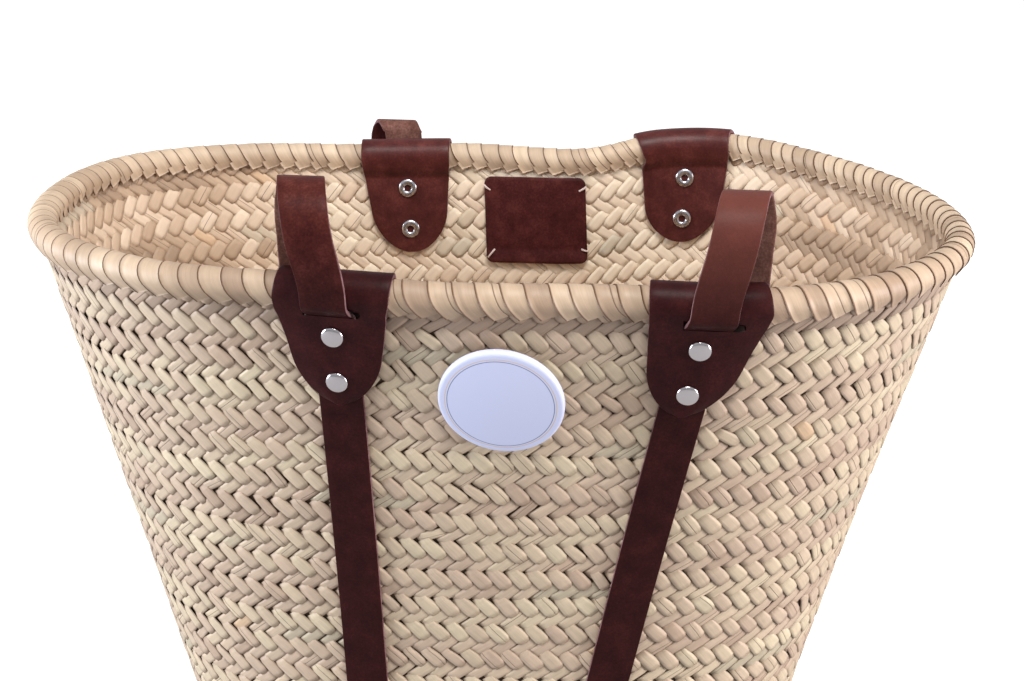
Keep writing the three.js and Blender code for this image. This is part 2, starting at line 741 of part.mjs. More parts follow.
const labelSeat = -(halfWall + wovenClearance);
const labelFace = labelSeat - labelThickness;
const labelPlace = (x, z, offset) => {
  const turn = degrees(labelTurn);
  return onWall(1, labelCentreX + x * Math.cos(turn) - z * Math.sin(turn),
    labelCentreZ + x * Math.sin(turn) + z * Math.cos(turn), offset);
};
const cornerSigns = [[-1, 1], [1, 1], [-1, -1], [1, -1]];

function label() {
  const [halfWidth, halfHeight] = [labelWidth / 2, labelHeight / 2];
  const columns = [0, 0.3, 1].map((t) => [
    -halfWidth + t * labelCorner, halfHeight - labelCorner * (1 - Math.sqrt(1 - (1 - t) ** 2))]);
  columns.push([-halfWidth / 2, halfHeight], [0, halfHeight], [halfWidth / 2, halfHeight]);
  columns.push(...columns.slice(0, 3).reverse().map(([x, z]) => [-x, z]));
  const rings = columns.map(([x, z]) => [
    labelPlace(x, -z, labelSeat), labelPlace(x, z, labelSeat),
    labelPlace(x, z, labelFace), labelPlace(x, -z, labelFace)]);
  const holes = cornerSigns.map(([a, b]) => {
    const [x, z] = threadHole(a, b);
    const [near, far] = [labelPlace(x, z, labelSeat + cutReach), labelPlace(x, z, labelFace - cutReach)];
    return drill(near, far, threadHoleRadius, 6);
  });
  return cut(loft(rings), holes);
}

const threadHole = (a, b) =>
  [a * (labelWidth / 2 - threadInset), b * (labelHeight / 2 - 1.6 * threadInset)];

function cornerThread(a, b) {
  const [x, z] = threadHole(a, b);
  const [farX, farZ] = [a * (labelWidth / 2 + 3 * threadRadius), z + b * threadInset / 2];
  const high = labelFace - clearance - threadRadius;
  const low = -(halfWall + clearance);
  const bend = high + 0.8 * threadRadius;
  const points = [[0, low], [0, bend], [0.12, high], [0.88, high], [1, bend], [1, low]];
  const places = points.map(([t, offset]) =>
    labelPlace(x + (farX - x) * t, z + (farZ - z) * t, offset));
  const plane = places[5].clone().sub(places[0]).cross(places[1].clone().sub(places[0])).normalize();
  return wire(places, threadRadius, plane);
}

// Button badge: a sheet shell over a flat back, and a spring wire pin behind it
function badgeAxes() {
  const u = roundAt(-1, badgeCentreX, badgeCentreZ);
  const wall = wallAxes(u, heightShare(u, badgeCentreZ));
  const axis = wall.out.clone()
    .applyAxisAngle(wall.along, degrees(-badgeTilt))
    .applyAxisAngle(vec(0, 0, 1), degrees(badgeTurn)).normalize();
  const slant = degrees(Math.hypot(badgeTilt, badgeTurn));
  const standOff = halfWall + wovenClearance + badgeRadius * Math.sin(slant);
  return { axis, centre: wall.point.addScaledVector(wall.out, standOff) };
}

function badgeShell() {
  const { axis, centre } = badgeAxes();
  const lip = badgeRadius - badgeLip;
  const crown = (r) => badgeEdge + badgeDome * (1 - (r / badgeRadius) ** 2);
  const outer = [0, 0.5, 0.85].map((t) => [t * badgeRadius, crown(t * badgeRadius)]);
  const inner = outer.map(([r, d]) => [r, d - badgeSheet]).reverse();
  const wall = badgeRadius - badgeSheet;
  const profile = [
    ...outer, [badgeRadius - badgeRoll, badgeEdge - 0.7 * badgeRoll], [badgeRadius, badgeEdge * 0.6],
    [badgeRadius, 0.6 * badgeRoll], [badgeRadius - 0.6 * badgeRoll, 0], [lip, 0], [lip, badgeSheet],
    [wall, badgeSheet], [wall, badgeEdge * 0.5], ...inner,
  ];
  return turned(centre, axis, profile, 32);
}

function badgeBack() {
  const { axis, centre } = badgeAxes();
  const radius = badgeRadius - badgeLip - clearance;
  return turned(centre, axis, [[0, 0], [radius, 0], [radius, badgeSheet], [0, badgeSheet]], 32);
}

function badgePin() {
  const { axis, centre } = badgeAxes();
  const across = vec(0, 0, 1).cross(axis).normalize();
  const level = -(clearance + pinWireRadius);
  const bow = level - pinBow;
  const shape = [[-1, level], [-0.85, level], [-0.55, bow], [0.55, bow], [0.85, level], [1, level]];
  const points = shape.map(([share, depth]) => centre.clone()
    .addScaledVector(across, share * pinHalfLength).addScaledVector(axis, depth));
  return wire(points, pinWireRadius, axis.clone().cross(across).normalize());
}

const group = new THREE.Group();

function add(name, geometry, look) {
  geometry.computeVertexNormals();
  const mesh = new THREE.Mesh(geometry, new THREE.MeshStandardMaterial(look));
  mesh.name = name;
  group.add(mesh);
}

const drills = tabs.flatMap(({ side, hand }) => rivetDepths.map((depth) => rivetDrill(side, hand, depth)));
add('woven_body', cut(wovenBody(), drills), straw);
add('rim_core', rimSolid(rimCoreSection), straw);
add('rim_wrap', rimSolid(rimWrapSection()), paleStraw);
add('left_girth_strap', girthStrap(-1), leather);
add('right_girth_strap', girthStrap(1), leather);
for (const tab of tabs) {
  const { name, side, hand } = tab;
  add(`${name}_tab`, tabSolid(tab), leather);
  add(`${name}_crown`, crownLink(side, hand), leather);
  for (const [i, level] of ['upper', 'lower'].entries()) {
    add(`${name}_${level}_rivet`, rivetCap(side, hand, rivetDepths[i]), chrome);
    add(`${name}_${level}_rivet_ring`, rivetRing(side, hand, rivetDepths[i]), chrome);
  }
}
add('front_grip', grip(-1), leather);
add('back_grip', grip(1), leather);
add('leather_label', label(), leather);
for (const [a, b] of cornerSigns) {
  add(`label_thread_${b > 0 ? 'top' : 'bottom'}_${a > 0 ? 'right' : 'left'}`, cornerThread(a, b), thread);
}
add('badge_shell', badgeShell(), whiteFilm);
add('badge_back', badgeBack(), chrome);
add('badge_pin', badgePin(), chrome);

const bounds = new THREE.Box3().setFromObject(group);
const middle = bounds.getCenter(vec(0, 0, 0));
group.position.set(-middle.x, -middle.y, -bounds.min.z);

export default group;
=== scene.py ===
# %% [markdown]
# # Straw beach basket
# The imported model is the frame: every piece below is placed in its coordinates, so nothing is
# fitted by eye. The basket's own sizes are repeated here in millimetres, measured from the middle
# of its base, and one helper turns them into metres in the frame.

# %% Load the frame
import json
import math

import bpy
import numpy as np
from mathutils import Matrix, Vector
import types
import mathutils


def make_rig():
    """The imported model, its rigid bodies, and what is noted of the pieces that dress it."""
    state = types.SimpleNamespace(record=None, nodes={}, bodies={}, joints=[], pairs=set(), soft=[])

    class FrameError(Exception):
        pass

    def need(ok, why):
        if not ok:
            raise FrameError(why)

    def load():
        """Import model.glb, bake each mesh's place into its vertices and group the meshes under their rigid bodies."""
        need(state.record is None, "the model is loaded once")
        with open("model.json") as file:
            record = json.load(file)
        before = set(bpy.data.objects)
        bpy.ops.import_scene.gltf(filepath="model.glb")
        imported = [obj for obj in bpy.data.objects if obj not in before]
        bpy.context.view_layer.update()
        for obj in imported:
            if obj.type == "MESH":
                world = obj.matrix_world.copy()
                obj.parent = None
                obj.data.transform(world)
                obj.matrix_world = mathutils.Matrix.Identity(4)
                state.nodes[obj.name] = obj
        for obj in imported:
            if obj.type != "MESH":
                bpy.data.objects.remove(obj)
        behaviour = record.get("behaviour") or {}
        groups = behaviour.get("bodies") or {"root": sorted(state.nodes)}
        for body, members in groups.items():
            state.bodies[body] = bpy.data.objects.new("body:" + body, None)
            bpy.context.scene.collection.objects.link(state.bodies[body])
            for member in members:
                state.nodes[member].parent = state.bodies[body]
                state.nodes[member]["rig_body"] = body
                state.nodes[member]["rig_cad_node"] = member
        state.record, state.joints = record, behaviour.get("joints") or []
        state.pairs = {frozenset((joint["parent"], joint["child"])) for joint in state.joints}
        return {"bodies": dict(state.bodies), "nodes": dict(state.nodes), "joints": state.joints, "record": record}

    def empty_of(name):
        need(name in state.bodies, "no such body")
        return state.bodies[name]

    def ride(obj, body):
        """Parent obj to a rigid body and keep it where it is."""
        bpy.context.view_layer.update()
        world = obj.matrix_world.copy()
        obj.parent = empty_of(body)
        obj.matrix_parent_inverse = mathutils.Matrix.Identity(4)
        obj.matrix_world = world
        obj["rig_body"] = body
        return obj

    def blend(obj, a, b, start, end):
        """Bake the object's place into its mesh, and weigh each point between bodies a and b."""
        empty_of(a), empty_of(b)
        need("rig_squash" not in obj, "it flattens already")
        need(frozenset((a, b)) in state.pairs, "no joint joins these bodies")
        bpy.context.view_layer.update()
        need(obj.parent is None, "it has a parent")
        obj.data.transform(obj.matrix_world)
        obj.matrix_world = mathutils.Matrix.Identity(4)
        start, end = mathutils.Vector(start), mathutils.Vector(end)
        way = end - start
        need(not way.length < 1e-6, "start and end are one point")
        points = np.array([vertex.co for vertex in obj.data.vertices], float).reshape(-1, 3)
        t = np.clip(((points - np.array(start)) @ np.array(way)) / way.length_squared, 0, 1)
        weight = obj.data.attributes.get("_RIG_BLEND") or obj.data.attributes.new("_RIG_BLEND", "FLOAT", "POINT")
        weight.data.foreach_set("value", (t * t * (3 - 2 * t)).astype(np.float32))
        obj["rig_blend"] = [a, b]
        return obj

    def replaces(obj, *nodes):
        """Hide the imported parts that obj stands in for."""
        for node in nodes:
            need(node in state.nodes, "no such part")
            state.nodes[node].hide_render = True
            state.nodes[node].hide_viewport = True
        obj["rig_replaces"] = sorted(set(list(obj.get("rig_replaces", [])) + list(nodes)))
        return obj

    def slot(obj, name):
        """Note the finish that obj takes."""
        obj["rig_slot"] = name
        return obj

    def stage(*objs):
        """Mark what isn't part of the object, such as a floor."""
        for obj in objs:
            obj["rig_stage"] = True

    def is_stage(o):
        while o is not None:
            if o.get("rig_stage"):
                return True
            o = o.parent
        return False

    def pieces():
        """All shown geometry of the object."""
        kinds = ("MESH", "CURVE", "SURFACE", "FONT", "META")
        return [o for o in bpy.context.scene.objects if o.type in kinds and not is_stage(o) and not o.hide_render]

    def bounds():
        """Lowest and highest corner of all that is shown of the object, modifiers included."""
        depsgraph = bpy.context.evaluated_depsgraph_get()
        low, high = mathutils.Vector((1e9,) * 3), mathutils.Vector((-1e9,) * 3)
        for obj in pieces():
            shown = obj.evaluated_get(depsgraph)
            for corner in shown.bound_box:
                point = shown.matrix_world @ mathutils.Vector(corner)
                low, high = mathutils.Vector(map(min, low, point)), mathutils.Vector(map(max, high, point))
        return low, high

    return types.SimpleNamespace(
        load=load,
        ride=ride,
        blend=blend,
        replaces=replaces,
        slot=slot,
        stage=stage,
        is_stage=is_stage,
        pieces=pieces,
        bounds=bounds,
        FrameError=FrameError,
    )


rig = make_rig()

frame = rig.load()
nodes = frame["nodes"]
cad_box = [list(corner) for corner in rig.bounds()]
print("nodes in the frame:", len(nodes))

# %% Sizes of the basket, in millimetres
MM = 0.001
BASKET_MIDDLE = np.array([1.5364, -2.5606, 0.0])
RIM_MIDDLE = 293.2
WALL_FOOT = 19.2
WALL_HEIGHT = RIM_MIDDLE - WALL_FOOT
MOUTH_HALF = (223, 132)
BASE_HALF = (154, 95)
STRAP_WIDTH = 20.5
STRAP_THICKNESS = 2.5
SIDE_WORD = {-1: "front", 1: "back"}
HAND_WORD = {-1: "left", 1: "right"}
MOUTH_LINE = [
    (1.00, -0.23, 2), (0.96, 0.17, 3), (0.81, 0.55, 5), (0.58, 0.85, 7),
    (0.38, 0.90, 5), (0.18, 0.85, -3), (-0.11, 0.92, -4), (-0.40, 0.91, -6),
    (-0.67, 0.83, -5), (-0.90, 0.60, -4), (-1.00, 0.23, -3), (-1.00, -0.23, -3),
    (-0.88, -0.62, -2), (-0.65, -0.89, -1), (-0.38, -0.99, 0), (-0.07, -1.05, 0),
    (0.25, -1.02, 0), (0.52, -1.02, 0), (0.76, -0.87, 1), (0.93, -0.57, 2),
]
chance = np.random.default_rng(11)
print("rim at", RIM_MIDDLE, "mm, straps", STRAP_WIDTH, "mm wide")


def unit(vectors):
    """Each vector divided by its length."""
    return vectors / np.maximum(np.linalg.norm(vectors, axis=-1, keepdims=True), 1e-9)


def smooth(low, high, value):
    """Rises from 0 at low to 1 at high along 3t^2 - 2t^3."""
    t = np.clip((value - low) / (high - low), 0, 1)
    return t * t * (3 - 2 * t)


def paint(red, green, blue):
    """A colour given on the 0 to 255 screen scale, as the linear values that a shader takes."""
    share = np.array([red, green, blue]) / 255
    linear = np.where(share <= 0.04045, share / 12.92, ((share + 0.055) / 1.055) ** 2.4)
    return (*[float(c) for c in linear], 1.0)


# %% [markdown]
# ## The wall as a function of two parameters
# A hand-made basket has no true oval anywhere. Its wall runs from a rounded base line to an uneven
# mouth line. Both lines are closed curves cut into equal steps, so one number u goes round the
# basket, and a second one v goes up the wall. Everything that lies on the wall asks these functions
# where it is, which is why the straps, tabs and leaves all follow the same surface.

# %% Base line and mouth line
LOOP_STEPS = 720
BASE_SQUARENESS = 2.6


def run_lengths(line):
    """How far along a line each of its points lies."""
    return np.r_[0, np.cumsum(np.linalg.norm(np.diff(line, axis=0), axis=1))]


def points_at(line, length, at):
    """The points at these distances along a line, on the straights between its own points."""
    return np.column_stack([np.interp(at, length, column) for column in line.T])


def cubic(f, start, rise, leave, arrive):
    """The cubic from a start point to start + rise whose headings there are leave and arrive."""
    return start + f * leave + f ** 2 * (3 * rise - 2 * leave - arrive) \
        + f ** 3 * (leave + arrive - 2 * rise)


def closed_curve(control):
    """Equal steps along a closed curve through the control points. Between two points it is the
    cubic whose end directions are half the chord between each point's neighbours."""
    count, fine = len(control), 60
    t = np.arange(count * fine) / fine
    i, f = t.astype(int), (t % 1)[:, None]
    before, here, after, beyond = (control[(i + k) % count] for k in (-1, 0, 1, 2))
    line = cubic(f, here, after - here, (after - before) / 2, (beyond - here) / 2)
    line = np.vstack([line, line[:1]])
    length = run_lengths(line)
    return points_at(line, length, np.linspace(0, length[-1], LOOP_STEPS + 1))


mouth_table = closed_curve(np.array(MOUTH_LINE) * (*MOUTH_HALF, 1))
oval_angle = np.arange(120) * 2 * np.pi / 120
oval = np.column_stack([np.cos(oval_angle), np.sin(oval_angle), 0 * oval_angle])
base_table = closed_curve(np.sign(oval) * np.abs(oval) ** (2 / BASE_SQUARENESS) * (*BASE_HALF, 0))
print("mouth line:", np.ptp(mouth_table, axis=0).round(1))
print("base line:", np.ptp(base_table, axis=0).round(1))

# %% The wall between the two lines
def on_loop(table, u):
    """The point a share u of the way round a loop, on the straight between two of its steps."""
    place = (np.asarray(u) % 1) * LOOP_STEPS
    low = np.floor(place).astype(int) % LOOP_STEPS
    return table[low] + (table[low + 1] - table[low]) * (place - np.floor(place))[..., None]


def wall_middle(u, v):
    """The middle of the wall: straight up from base line to mouth line in x and z, while y moves
    out as the height to the power 1.4, which hollows the front and back a little."""
    base, mouth = on_loop(base_table, u), on_loop(mouth_table, u)
    h = np.maximum(v, 0)
    return np.stack([
        base[..., 0] + (mouth[..., 0] - base[..., 0]) * h,
        base[..., 1] + (mouth[..., 1] - base[..., 1]) * h ** 1.4,
        WALL_FOOT + (WALL_HEIGHT + mouth[..., 2]) * h], axis=-1)


def wall_frame(u, v):
    """A place on the wall with three directions: along the wall, out of it, and up it."""
    u, v = np.broadcast_arrays(np.asarray(u, float), np.asarray(v, float))
    along = unit(wall_middle(u + 0.002, v) - wall_middle(u - 0.002, v))
    rise = wall_middle(u, v + 0.002) - wall_middle(u, np.maximum(v - 0.002, 0))
    out = unit(np.cross(along, rise))
    return wall_middle(u, v), along, out, np.cross(out, along)


print("front of the mouth:", wall_middle(0.75, 1).round(1))

# %% Places on the wall
def height_share(u, z):
    """How far up the wall this height lies, from 0 at its foot to 1 at the mouth."""
    return (z - WALL_FOOT) / (WALL_HEIGHT + on_loop(mouth_table, u)[..., 2])


def depth_share(u, depth):
    """The same for a depth that is counted from the mouth line."""
    return 1 + depth / (WALL_HEIGHT + on_loop(mouth_table, u)[..., 2])


ROUND_ENDS = {-1: (0.55, 0.97), 1: (0.47, 0.03)}
RIM_FOOT = (-9.5, -4.5)


def round_at(side, x, z):
    """How far round the front (-1) or back (+1) wall this x lies at this height, by halving."""
    x, z = np.broadcast_arrays(np.asarray(x, float), np.asarray(z, float))
    low, high = (np.full(x.shape, end) for end in ROUND_ENDS[side])
    for _ in range(40):
        middle = (low + high) / 2
        short = wall_middle(middle, height_share(middle, z))[..., 0] < x
        low, high = np.where(short, middle, low), np.where(short, high, middle)
    return (low + high) / 2


def at_rim(side, x, depth, offset):
    """The point at x, this far below (negative) the rim's middle line, this far out of the wall's
    middle. Above the rim's foot it follows the rim's own upright, below it the wall, and between
    them it passes smoothly from one to the other."""
    x, depth, offset = np.broadcast_arrays(*(np.asarray(a, float) for a in (x, depth, offset)))
    u = round_at(side, x, RIM_MIDDLE + depth)
    rim, _, rim_out, rim_up = wall_frame(u, 1)
    near = rim + rim_up * depth[..., None] + rim_out * offset[..., None]
    wall, _, wall_out, _ = wall_frame(u, np.minimum(depth_share(u, depth), 1))
    far = wall + wall_out * offset[..., None]
    return far + (near - far) * smooth(*RIM_FOOT, depth)[..., None]


def out_at(side, x, depth):
    """The direction out of the wall at such a point."""
    u = round_at(side, x, RIM_MIDDLE + depth)
    return wall_frame(u, depth_share(u, depth))[2]


print("front wall's middle, halfway down:", at_rim(-1, 0, -WALL_HEIGHT / 2, 0).round(1))

# %% Meshes from arrays
def outward(points, face_groups):
    """Turns every face over when the volume that they enclose comes out negative."""
    total = 0.0
    for group in face_groups:
        a = points[group[:, 0]]
        for k in range(1, group.shape[1] - 1):
            total += np.einsum("ij,ij->", a, np.cross(points[group[:, k]], points[group[:, k + 1]]))
    return face_groups if total > 0 else [group[:, ::-1] for group in face_groups]


def make_piece(name, points, face_groups, materials, body="basket", uv=None, marks=None,
               kinds=None):
    """A mesh from an array of points in millimetres and groups of faces with equal corner counts,
    which are turned outwards. uv holds one pair for each point, marks holds named numbers for each
    point, and kinds says which of the materials each face takes."""
    points = points.reshape(-1, 3)
    face_groups = outward(points, face_groups)
    mesh = bpy.data.meshes.new(name)
    corners = np.concatenate([g.ravel() for g in face_groups]).astype(np.int32)
    totals = np.concatenate([np.full(len(g), g.shape[1]) for g in face_groups])
    starts = np.r_[0, np.cumsum(totals)[:-1]].astype(np.int32)
    mesh.vertices.add(len(points))
    mesh.vertices.foreach_set("co", ((points + BASKET_MIDDLE) * MM).astype(np.float32).ravel())
    mesh.loops.add(len(corners))
    mesh.loops.foreach_set("vertex_index", corners)
    mesh.polygons.add(len(totals))
    mesh.polygons.foreach_set("loop_start", starts)
    mesh.update(calc_edges=True)
    mesh.polygons.foreach_set("use_smooth", np.ones(len(totals), bool))
    if kinds is not None:
        mesh.polygons.foreach_set("material_index", np.asarray(kinds, np.int32))
    if uv is not None:
        layer = mesh.uv_layers.new(name="surface")
        layer.data.foreach_set("uv", uv[corners].astype(np.float32).ravel())
    for mark, values in (marks or {}).items():
        numbers = mesh.attributes.new(mark, "FLOAT", "POINT")
        numbers.data.foreach_set("value", values.astype(np.float32))
    for material in materials:
        mesh.materials.append(material)
    piece = bpy.data.objects.new(name, mesh)
    bpy.context.scene.collection.objects.link(piece)
    if body:
        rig.ride(piece, body)
    return piece


# %% Faces of grids
def grid_quads(rows, columns, wrap_rows=False, wrap_columns=False):
    """The quads of a grid of points that is numbered row by row."""
    i = np.arange(rows if wrap_rows else rows - 1)[:, None]
    j = np.arange(columns if wrap_columns else columns - 1)[None, :]
    i2, j2 = (i + 1) % rows, (j + 1) % columns
    quads = [i * columns + j, i * columns + j2, i2 * columns + j2, i2 * columns + j]
    return np.stack([q + 0 * i + 0 * j for q in quads], axis=-1).reshape(-1, 4)


def grid_border(rows, columns):
    """The numbers of a grid's outer points, in order round it."""
    i, j = np.arange(rows), np.arange(columns)
    return np.r_[i[:-1] * columns, (rows - 1) * columns + j[:-1],
                 i[:0:-1] * columns + columns - 1, j[:0:-1]]


def slab_faces(rows, columns):
    """The faces of two grids, one behind the other: front, back and the sides between them."""
    front, size, loop = grid_quads(rows, columns), rows * columns, grid_border(rows, columns)
    after = np.roll(loop, -1)
    return [front, front[:, ::-1] + size,
            np.column_stack([loop + size, after + size, after, loop])]


print("a grid of 5 by 6 points has", len(grid_quads(5, 6)), "quads")

# %% [markdown]
# ## Finishes
# Each finish is a Principled shader with its own pattern. Effects that several finishes share are
# node groups: the long fibres of a palm leaf, and the pores and mottling of a hide. Small helpers
# keep the node code short: the first adds a node, sets its inputs, and links where it is given a
# socket. Colours are written as they look on a screen, each from 0 to 255.

# %% Helpers for nodes
def add_node(tree, kind, inputs=None, **settings):
    """A new node with these settings, whose inputs are linked or set to a value."""
    node = tree.nodes.new(kind)
    for key, value in settings.items():
        setattr(node, key, value)
    for key, value in (inputs or {}).items():
        if isinstance(value, bpy.types.NodeSocket):
            tree.links.new(value, node.inputs[key])
        else:
            node.inputs[key].default_value = value
    return node


def math_node(tree, operation, a, b=0.0, c=0.0):
    """One operation on up to three numbers."""
    return add_node(tree, "ShaderNodeMath", {0: a, 1: b, 2: c}, operation=operation).outputs[0]


def mix_colours(tree, share, a, b, blend="MIX"):
    """Colour a with this share of colour b mixed in."""
    return add_node(tree, "ShaderNodeMix", {0: share, 6: a, 7: b}, data_type="RGBA",
                    blend_type=blend).outputs[2]


def ramp(tree, value, stops):
    """A number turned into colour by a list of positions and screen colours."""
    node = add_node(tree, "ShaderNodeValToRGB", {0: value})
    elements = node.color_ramp.elements
    while len(elements) < len(stops):
        elements.new(0.5)
    for element, (position, colour) in zip(elements, stops):
        element.position = position
        element.color = paint(*colour)
    return node.outputs[0]


def spread(tree, value, low, high, new_low=0.0, new_high=1.0):
    """A number carried evenly from one range to another, and held at its ends."""
    return add_node(tree, "ShaderNodeMapRange",
                    {0: value, 1: low, 2: high, 3: new_low, 4: new_high}).outputs[0]


def noise(tree, place, scale, detail, roughness=0.5):
    """A cloud of numbers about one half."""
    return add_node(tree, "ShaderNodeTexNoise", {
        "Vector": place, "Scale": scale, "Detail": detail, "Roughness": roughness}).outputs[0]


def own_place(tree):
    """The piece's own coordinates, in metres."""
    return add_node(tree, "ShaderNodeTexCoord").outputs["Object"]


def read_mark(tree, name):
    """The named number that the mesh holds for each point."""
    return add_node(tree, "ShaderNodeAttribute", attribute_name=name).outputs["Fac"]


# %% Helpers for groups and materials
def new_group(name, inputs, outputs):
    """A shader node group, whose inputs and outputs are named with their kinds."""
    group = bpy.data.node_groups.new(name, "ShaderNodeTree")
    for way, sockets in (("INPUT", inputs), ("OUTPUT", outputs)):
        for label, kind in sockets.items():
            group.interface.new_socket(name=label, in_out=way, socket_type="NodeSocket" + kind)
    given, out = group.nodes.new("NodeGroupInput"), group.nodes.new("NodeGroupOutput")
    return group, given.outputs, out.inputs


def new_material(name, colour, **constants):
    """A material with its Principled shader, whose constant values are set on its sockets."""
    material = bpy.data.materials.new(name)
    material.use_nodes = True
    material.diffuse_color = colour
    tree = material.node_tree
    shader = tree.nodes["Principled BSDF"]
    shader.inputs["Base Color"].default_value = colour
    for label, value in constants.items():
        shader.inputs[label.replace("_", " ")].default_value = value
    return material, tree, shader


def feed(tree, target, values):
    """Links each value to the target's socket of that name."""
    for label, value in values.items():
        tree.links.new(value, target[label])


def bump(tree, height, strength, distance):
    """A normal that leans with the height."""
    return add_node(tree, "ShaderNodeBump", {
        "Height": height, "Strength": strength, "Distance": distance}).outputs[0]


# %% Node group: fibres of a dried palm leaf
def build_leaf_fibres():
    """Streaks that run along a leaf. The leaf's own map has its width in x and its length in y, and
    the noise is squeezed across and stretched along. Seed shifts the noise from leaf to leaf, and
    gives one leaf in five a split along it."""
    group, given, out = new_group(
        "palm leaf fibres", {"Leaf Map": "Vector", "Seed": "Float", "Fineness": "Float"},
        dict.fromkeys(("Tone", "Edge", "Split", "Height"), "Float"))

    def sums(operation, *numbers):
        """One operation in this group."""
        return math_node(group, operation, *numbers)

    x, y, _ = add_node(group, "ShaderNodeSeparateXYZ", {0: given["Leaf Map"]}).outputs
    across = sums("MULTIPLY", x, given["Fineness"])
    shift = sums("MULTIPLY", given["Seed"], 57.0)

    def streaks(fine, long, detail):
        """Noise with this many waves across the leaf and along it."""
        place = {0: sums("MULTIPLY", across, fine), 1: sums("MULTIPLY", y, long), 2: shift}
        place = add_node(group, "ShaderNodeCombineXYZ", place).outputs[0]
        return noise(group, place, 1.0, detail, 0.6)

    wide, narrow, blotch = streaks(2.2, 0.6, 2.0), streaks(13.0, 0.9, 3.0), streaks(1.1, 1.6, 2.0)
    tone = sums("MULTIPLY_ADD", wide, 0.45,
                sums("MULTIPLY_ADD", narrow, 0.3, sums("MULTIPLY", blotch, 0.25)))
    from_middle = sums("ABSOLUTE", sums("MULTIPLY_ADD", x, 2.0, -1.0))
    where = sums("MULTIPLY_ADD", sums("FRACT", sums("MULTIPLY", given["Seed"], 13.7)), 0.5, 0.25)
    chosen = sums("GREATER_THAN", sums("FRACT", sums("MULTIPLY", given["Seed"], 29.3)), 0.8)
    from_split = sums("ABSOLUTE", sums("SUBTRACT", x, where))
    split = sums("MULTIPLY", spread(group, from_split, 0.035, 0.008), chosen)
    ridges = sums("MULTIPLY_ADD", narrow, 0.7, sums("MULTIPLY", wide, 0.3))
    # Edge is the mask of a leaf's long edges, where the leaf finishes paint shade.
    feed(group, out, {"Tone": tone, "Edge": spread(group, from_middle, 0.84, 1.0), "Split": split,
                      "Height": sums("SUBTRACT", ridges, split)})
    return group


leaf_fibres = build_leaf_fibres()
print("leaf fibres:", len(leaf_fibres.nodes), "nodes")

# %% Finishes of leaf
# Painted shade: the colour that a tint below nought mixes in, for leaves under the tabs.
PAINTED_SHADE = paint(52, 38, 30)
END_SHADE, EDGE_SHADE, BROWN_SPLIT = paint(110, 80, 58), paint(100, 72, 50), paint(84, 60, 40)


def leaf_material(name, tints, roughness, fineness, contrast, depth, ends, edges):
    """A palm leaf finish. The tint mark picks a colour from the list, the fibres lighten and
    darken it, its splits are brown, and its ends and long edges are darkened with painted shade.
    A tint below nought mixes in painted shade, for leaves that lie under a tab."""
    material, tree, shader = new_material(name, paint(*tints[len(tints) // 2][1]),
                                          Roughness=roughness)
    place = add_node(tree, "ShaderNodeUVMap", uv_map="surface").outputs[0]
    tint = read_mark(tree, "leaf_tint")
    fibre = add_node(tree, "ShaderNodeGroup", {
        "Leaf Map": place, "Seed": read_mark(tree, "leaf_seed"), "Fineness": fineness},
        node_tree=leaf_fibres).outputs
    # A tint below nought mixes in painted shade.
    dark = spread(tree, tint, -1.0, 0.0, 1.0, 0.0)
    colour = mix_colours(tree, dark, ramp(tree, tint, tints), PAINTED_SHADE)
    shade = spread(tree, fibre["Tone"], 0.3, 0.7, 1 - contrast, 1 + contrast * 0.45)
    grey = add_node(tree, "ShaderNodeCombineXYZ", {0: shade, 1: shade, 2: shade}).outputs[0]
    colour = mix_colours(tree, 1.0, colour, grey, "MULTIPLY")
    along = add_node(tree, "ShaderNodeSeparateXYZ", {0: place}).outputs[1]
    end = math_node(tree, "ABSOLUTE", math_node(tree, "MULTIPLY_ADD", along, 2.0, -1.0))
    # Painted shade darkens the tucked ends and the long edges where leaves meet; splits are brown.
    for share, brown in ((spread(tree, end, 0.5, 1.0, 0.0, ends), END_SHADE),
                         (math_node(tree, "MULTIPLY", fibre["Edge"], edges), EDGE_SHADE),
                         (math_node(tree, "MULTIPLY", fibre["Split"], 0.75), BROWN_SPLIT)):
        colour = mix_colours(tree, share, colour, brown)
    rough = spread(tree, fibre["Tone"], 0.3, 0.7, roughness + 0.1, roughness - 0.08)
    feed(tree, shader.inputs, {"Base Color": colour, "Roughness": rough,
                               "Normal": bump(tree, fibre["Height"], depth, 0.0003)})
    return material


# ends and edges set how much painted shade darkens each leaf's tucked ends and long edges.
straw = leaf_material("straw", [
    (0.0, (168, 145, 126)), (0.12, (192, 166, 144)), (0.3, (205, 181, 158)),
    (0.5, (211, 190, 163)), (0.7, (220, 203, 173)), (0.8, (194, 177, 152)),
    (0.9, (196, 183, 158)), (1.0, (212, 181, 148))],
    roughness=0.55, fineness=1.0, contrast=0.24, depth=0.6, ends=0.35, edges=0.5)
# The inside finish is lighter than straw: partly a paler inner face, partly painted light.
straw_inside = leaf_material("straw_inside", [
    (0.0, (186, 158, 132)), (0.12, (204, 176, 148)), (0.3, (226, 200, 174)),
    (0.5, (240, 218, 192)), (0.76, (246, 228, 202)), (0.82, (218, 196, 168)),
    (0.9, (212, 198, 176)), (1.0, (224, 190, 156))],
    roughness=0.6, fineness=1.0, contrast=0.12, depth=0.3, ends=0.05, edges=0.12)
rim_leaf = leaf_material("rim_leaf", [
    (0.0, (170, 143, 120)), (0.4, (190, 164, 138)), (0.75, (212, 187, 160)),
    (1.0, (220, 195, 166))],
    roughness=0.5, fineness=1.4, contrast=0.24, depth=0.5, ends=0.0, edges=1.7)
print("leaf finishes:", straw.name, straw_inside.name, rim_leaf.name)

# %% Finishes under the leaves, outside and inside
def cloudy(name, dark, light, scale):
    """A matt finish whose colour is a cloud between two others."""
    material, tree, shader = new_material(name, paint(*light), Roughness=0.9)
    cloud = noise(tree, own_place(tree), scale, 3.0)
    feed(tree, shader.inputs, {"Base Color": ramp(tree, cloud, [(0.3, dark), (0.7, light)])})
    return material
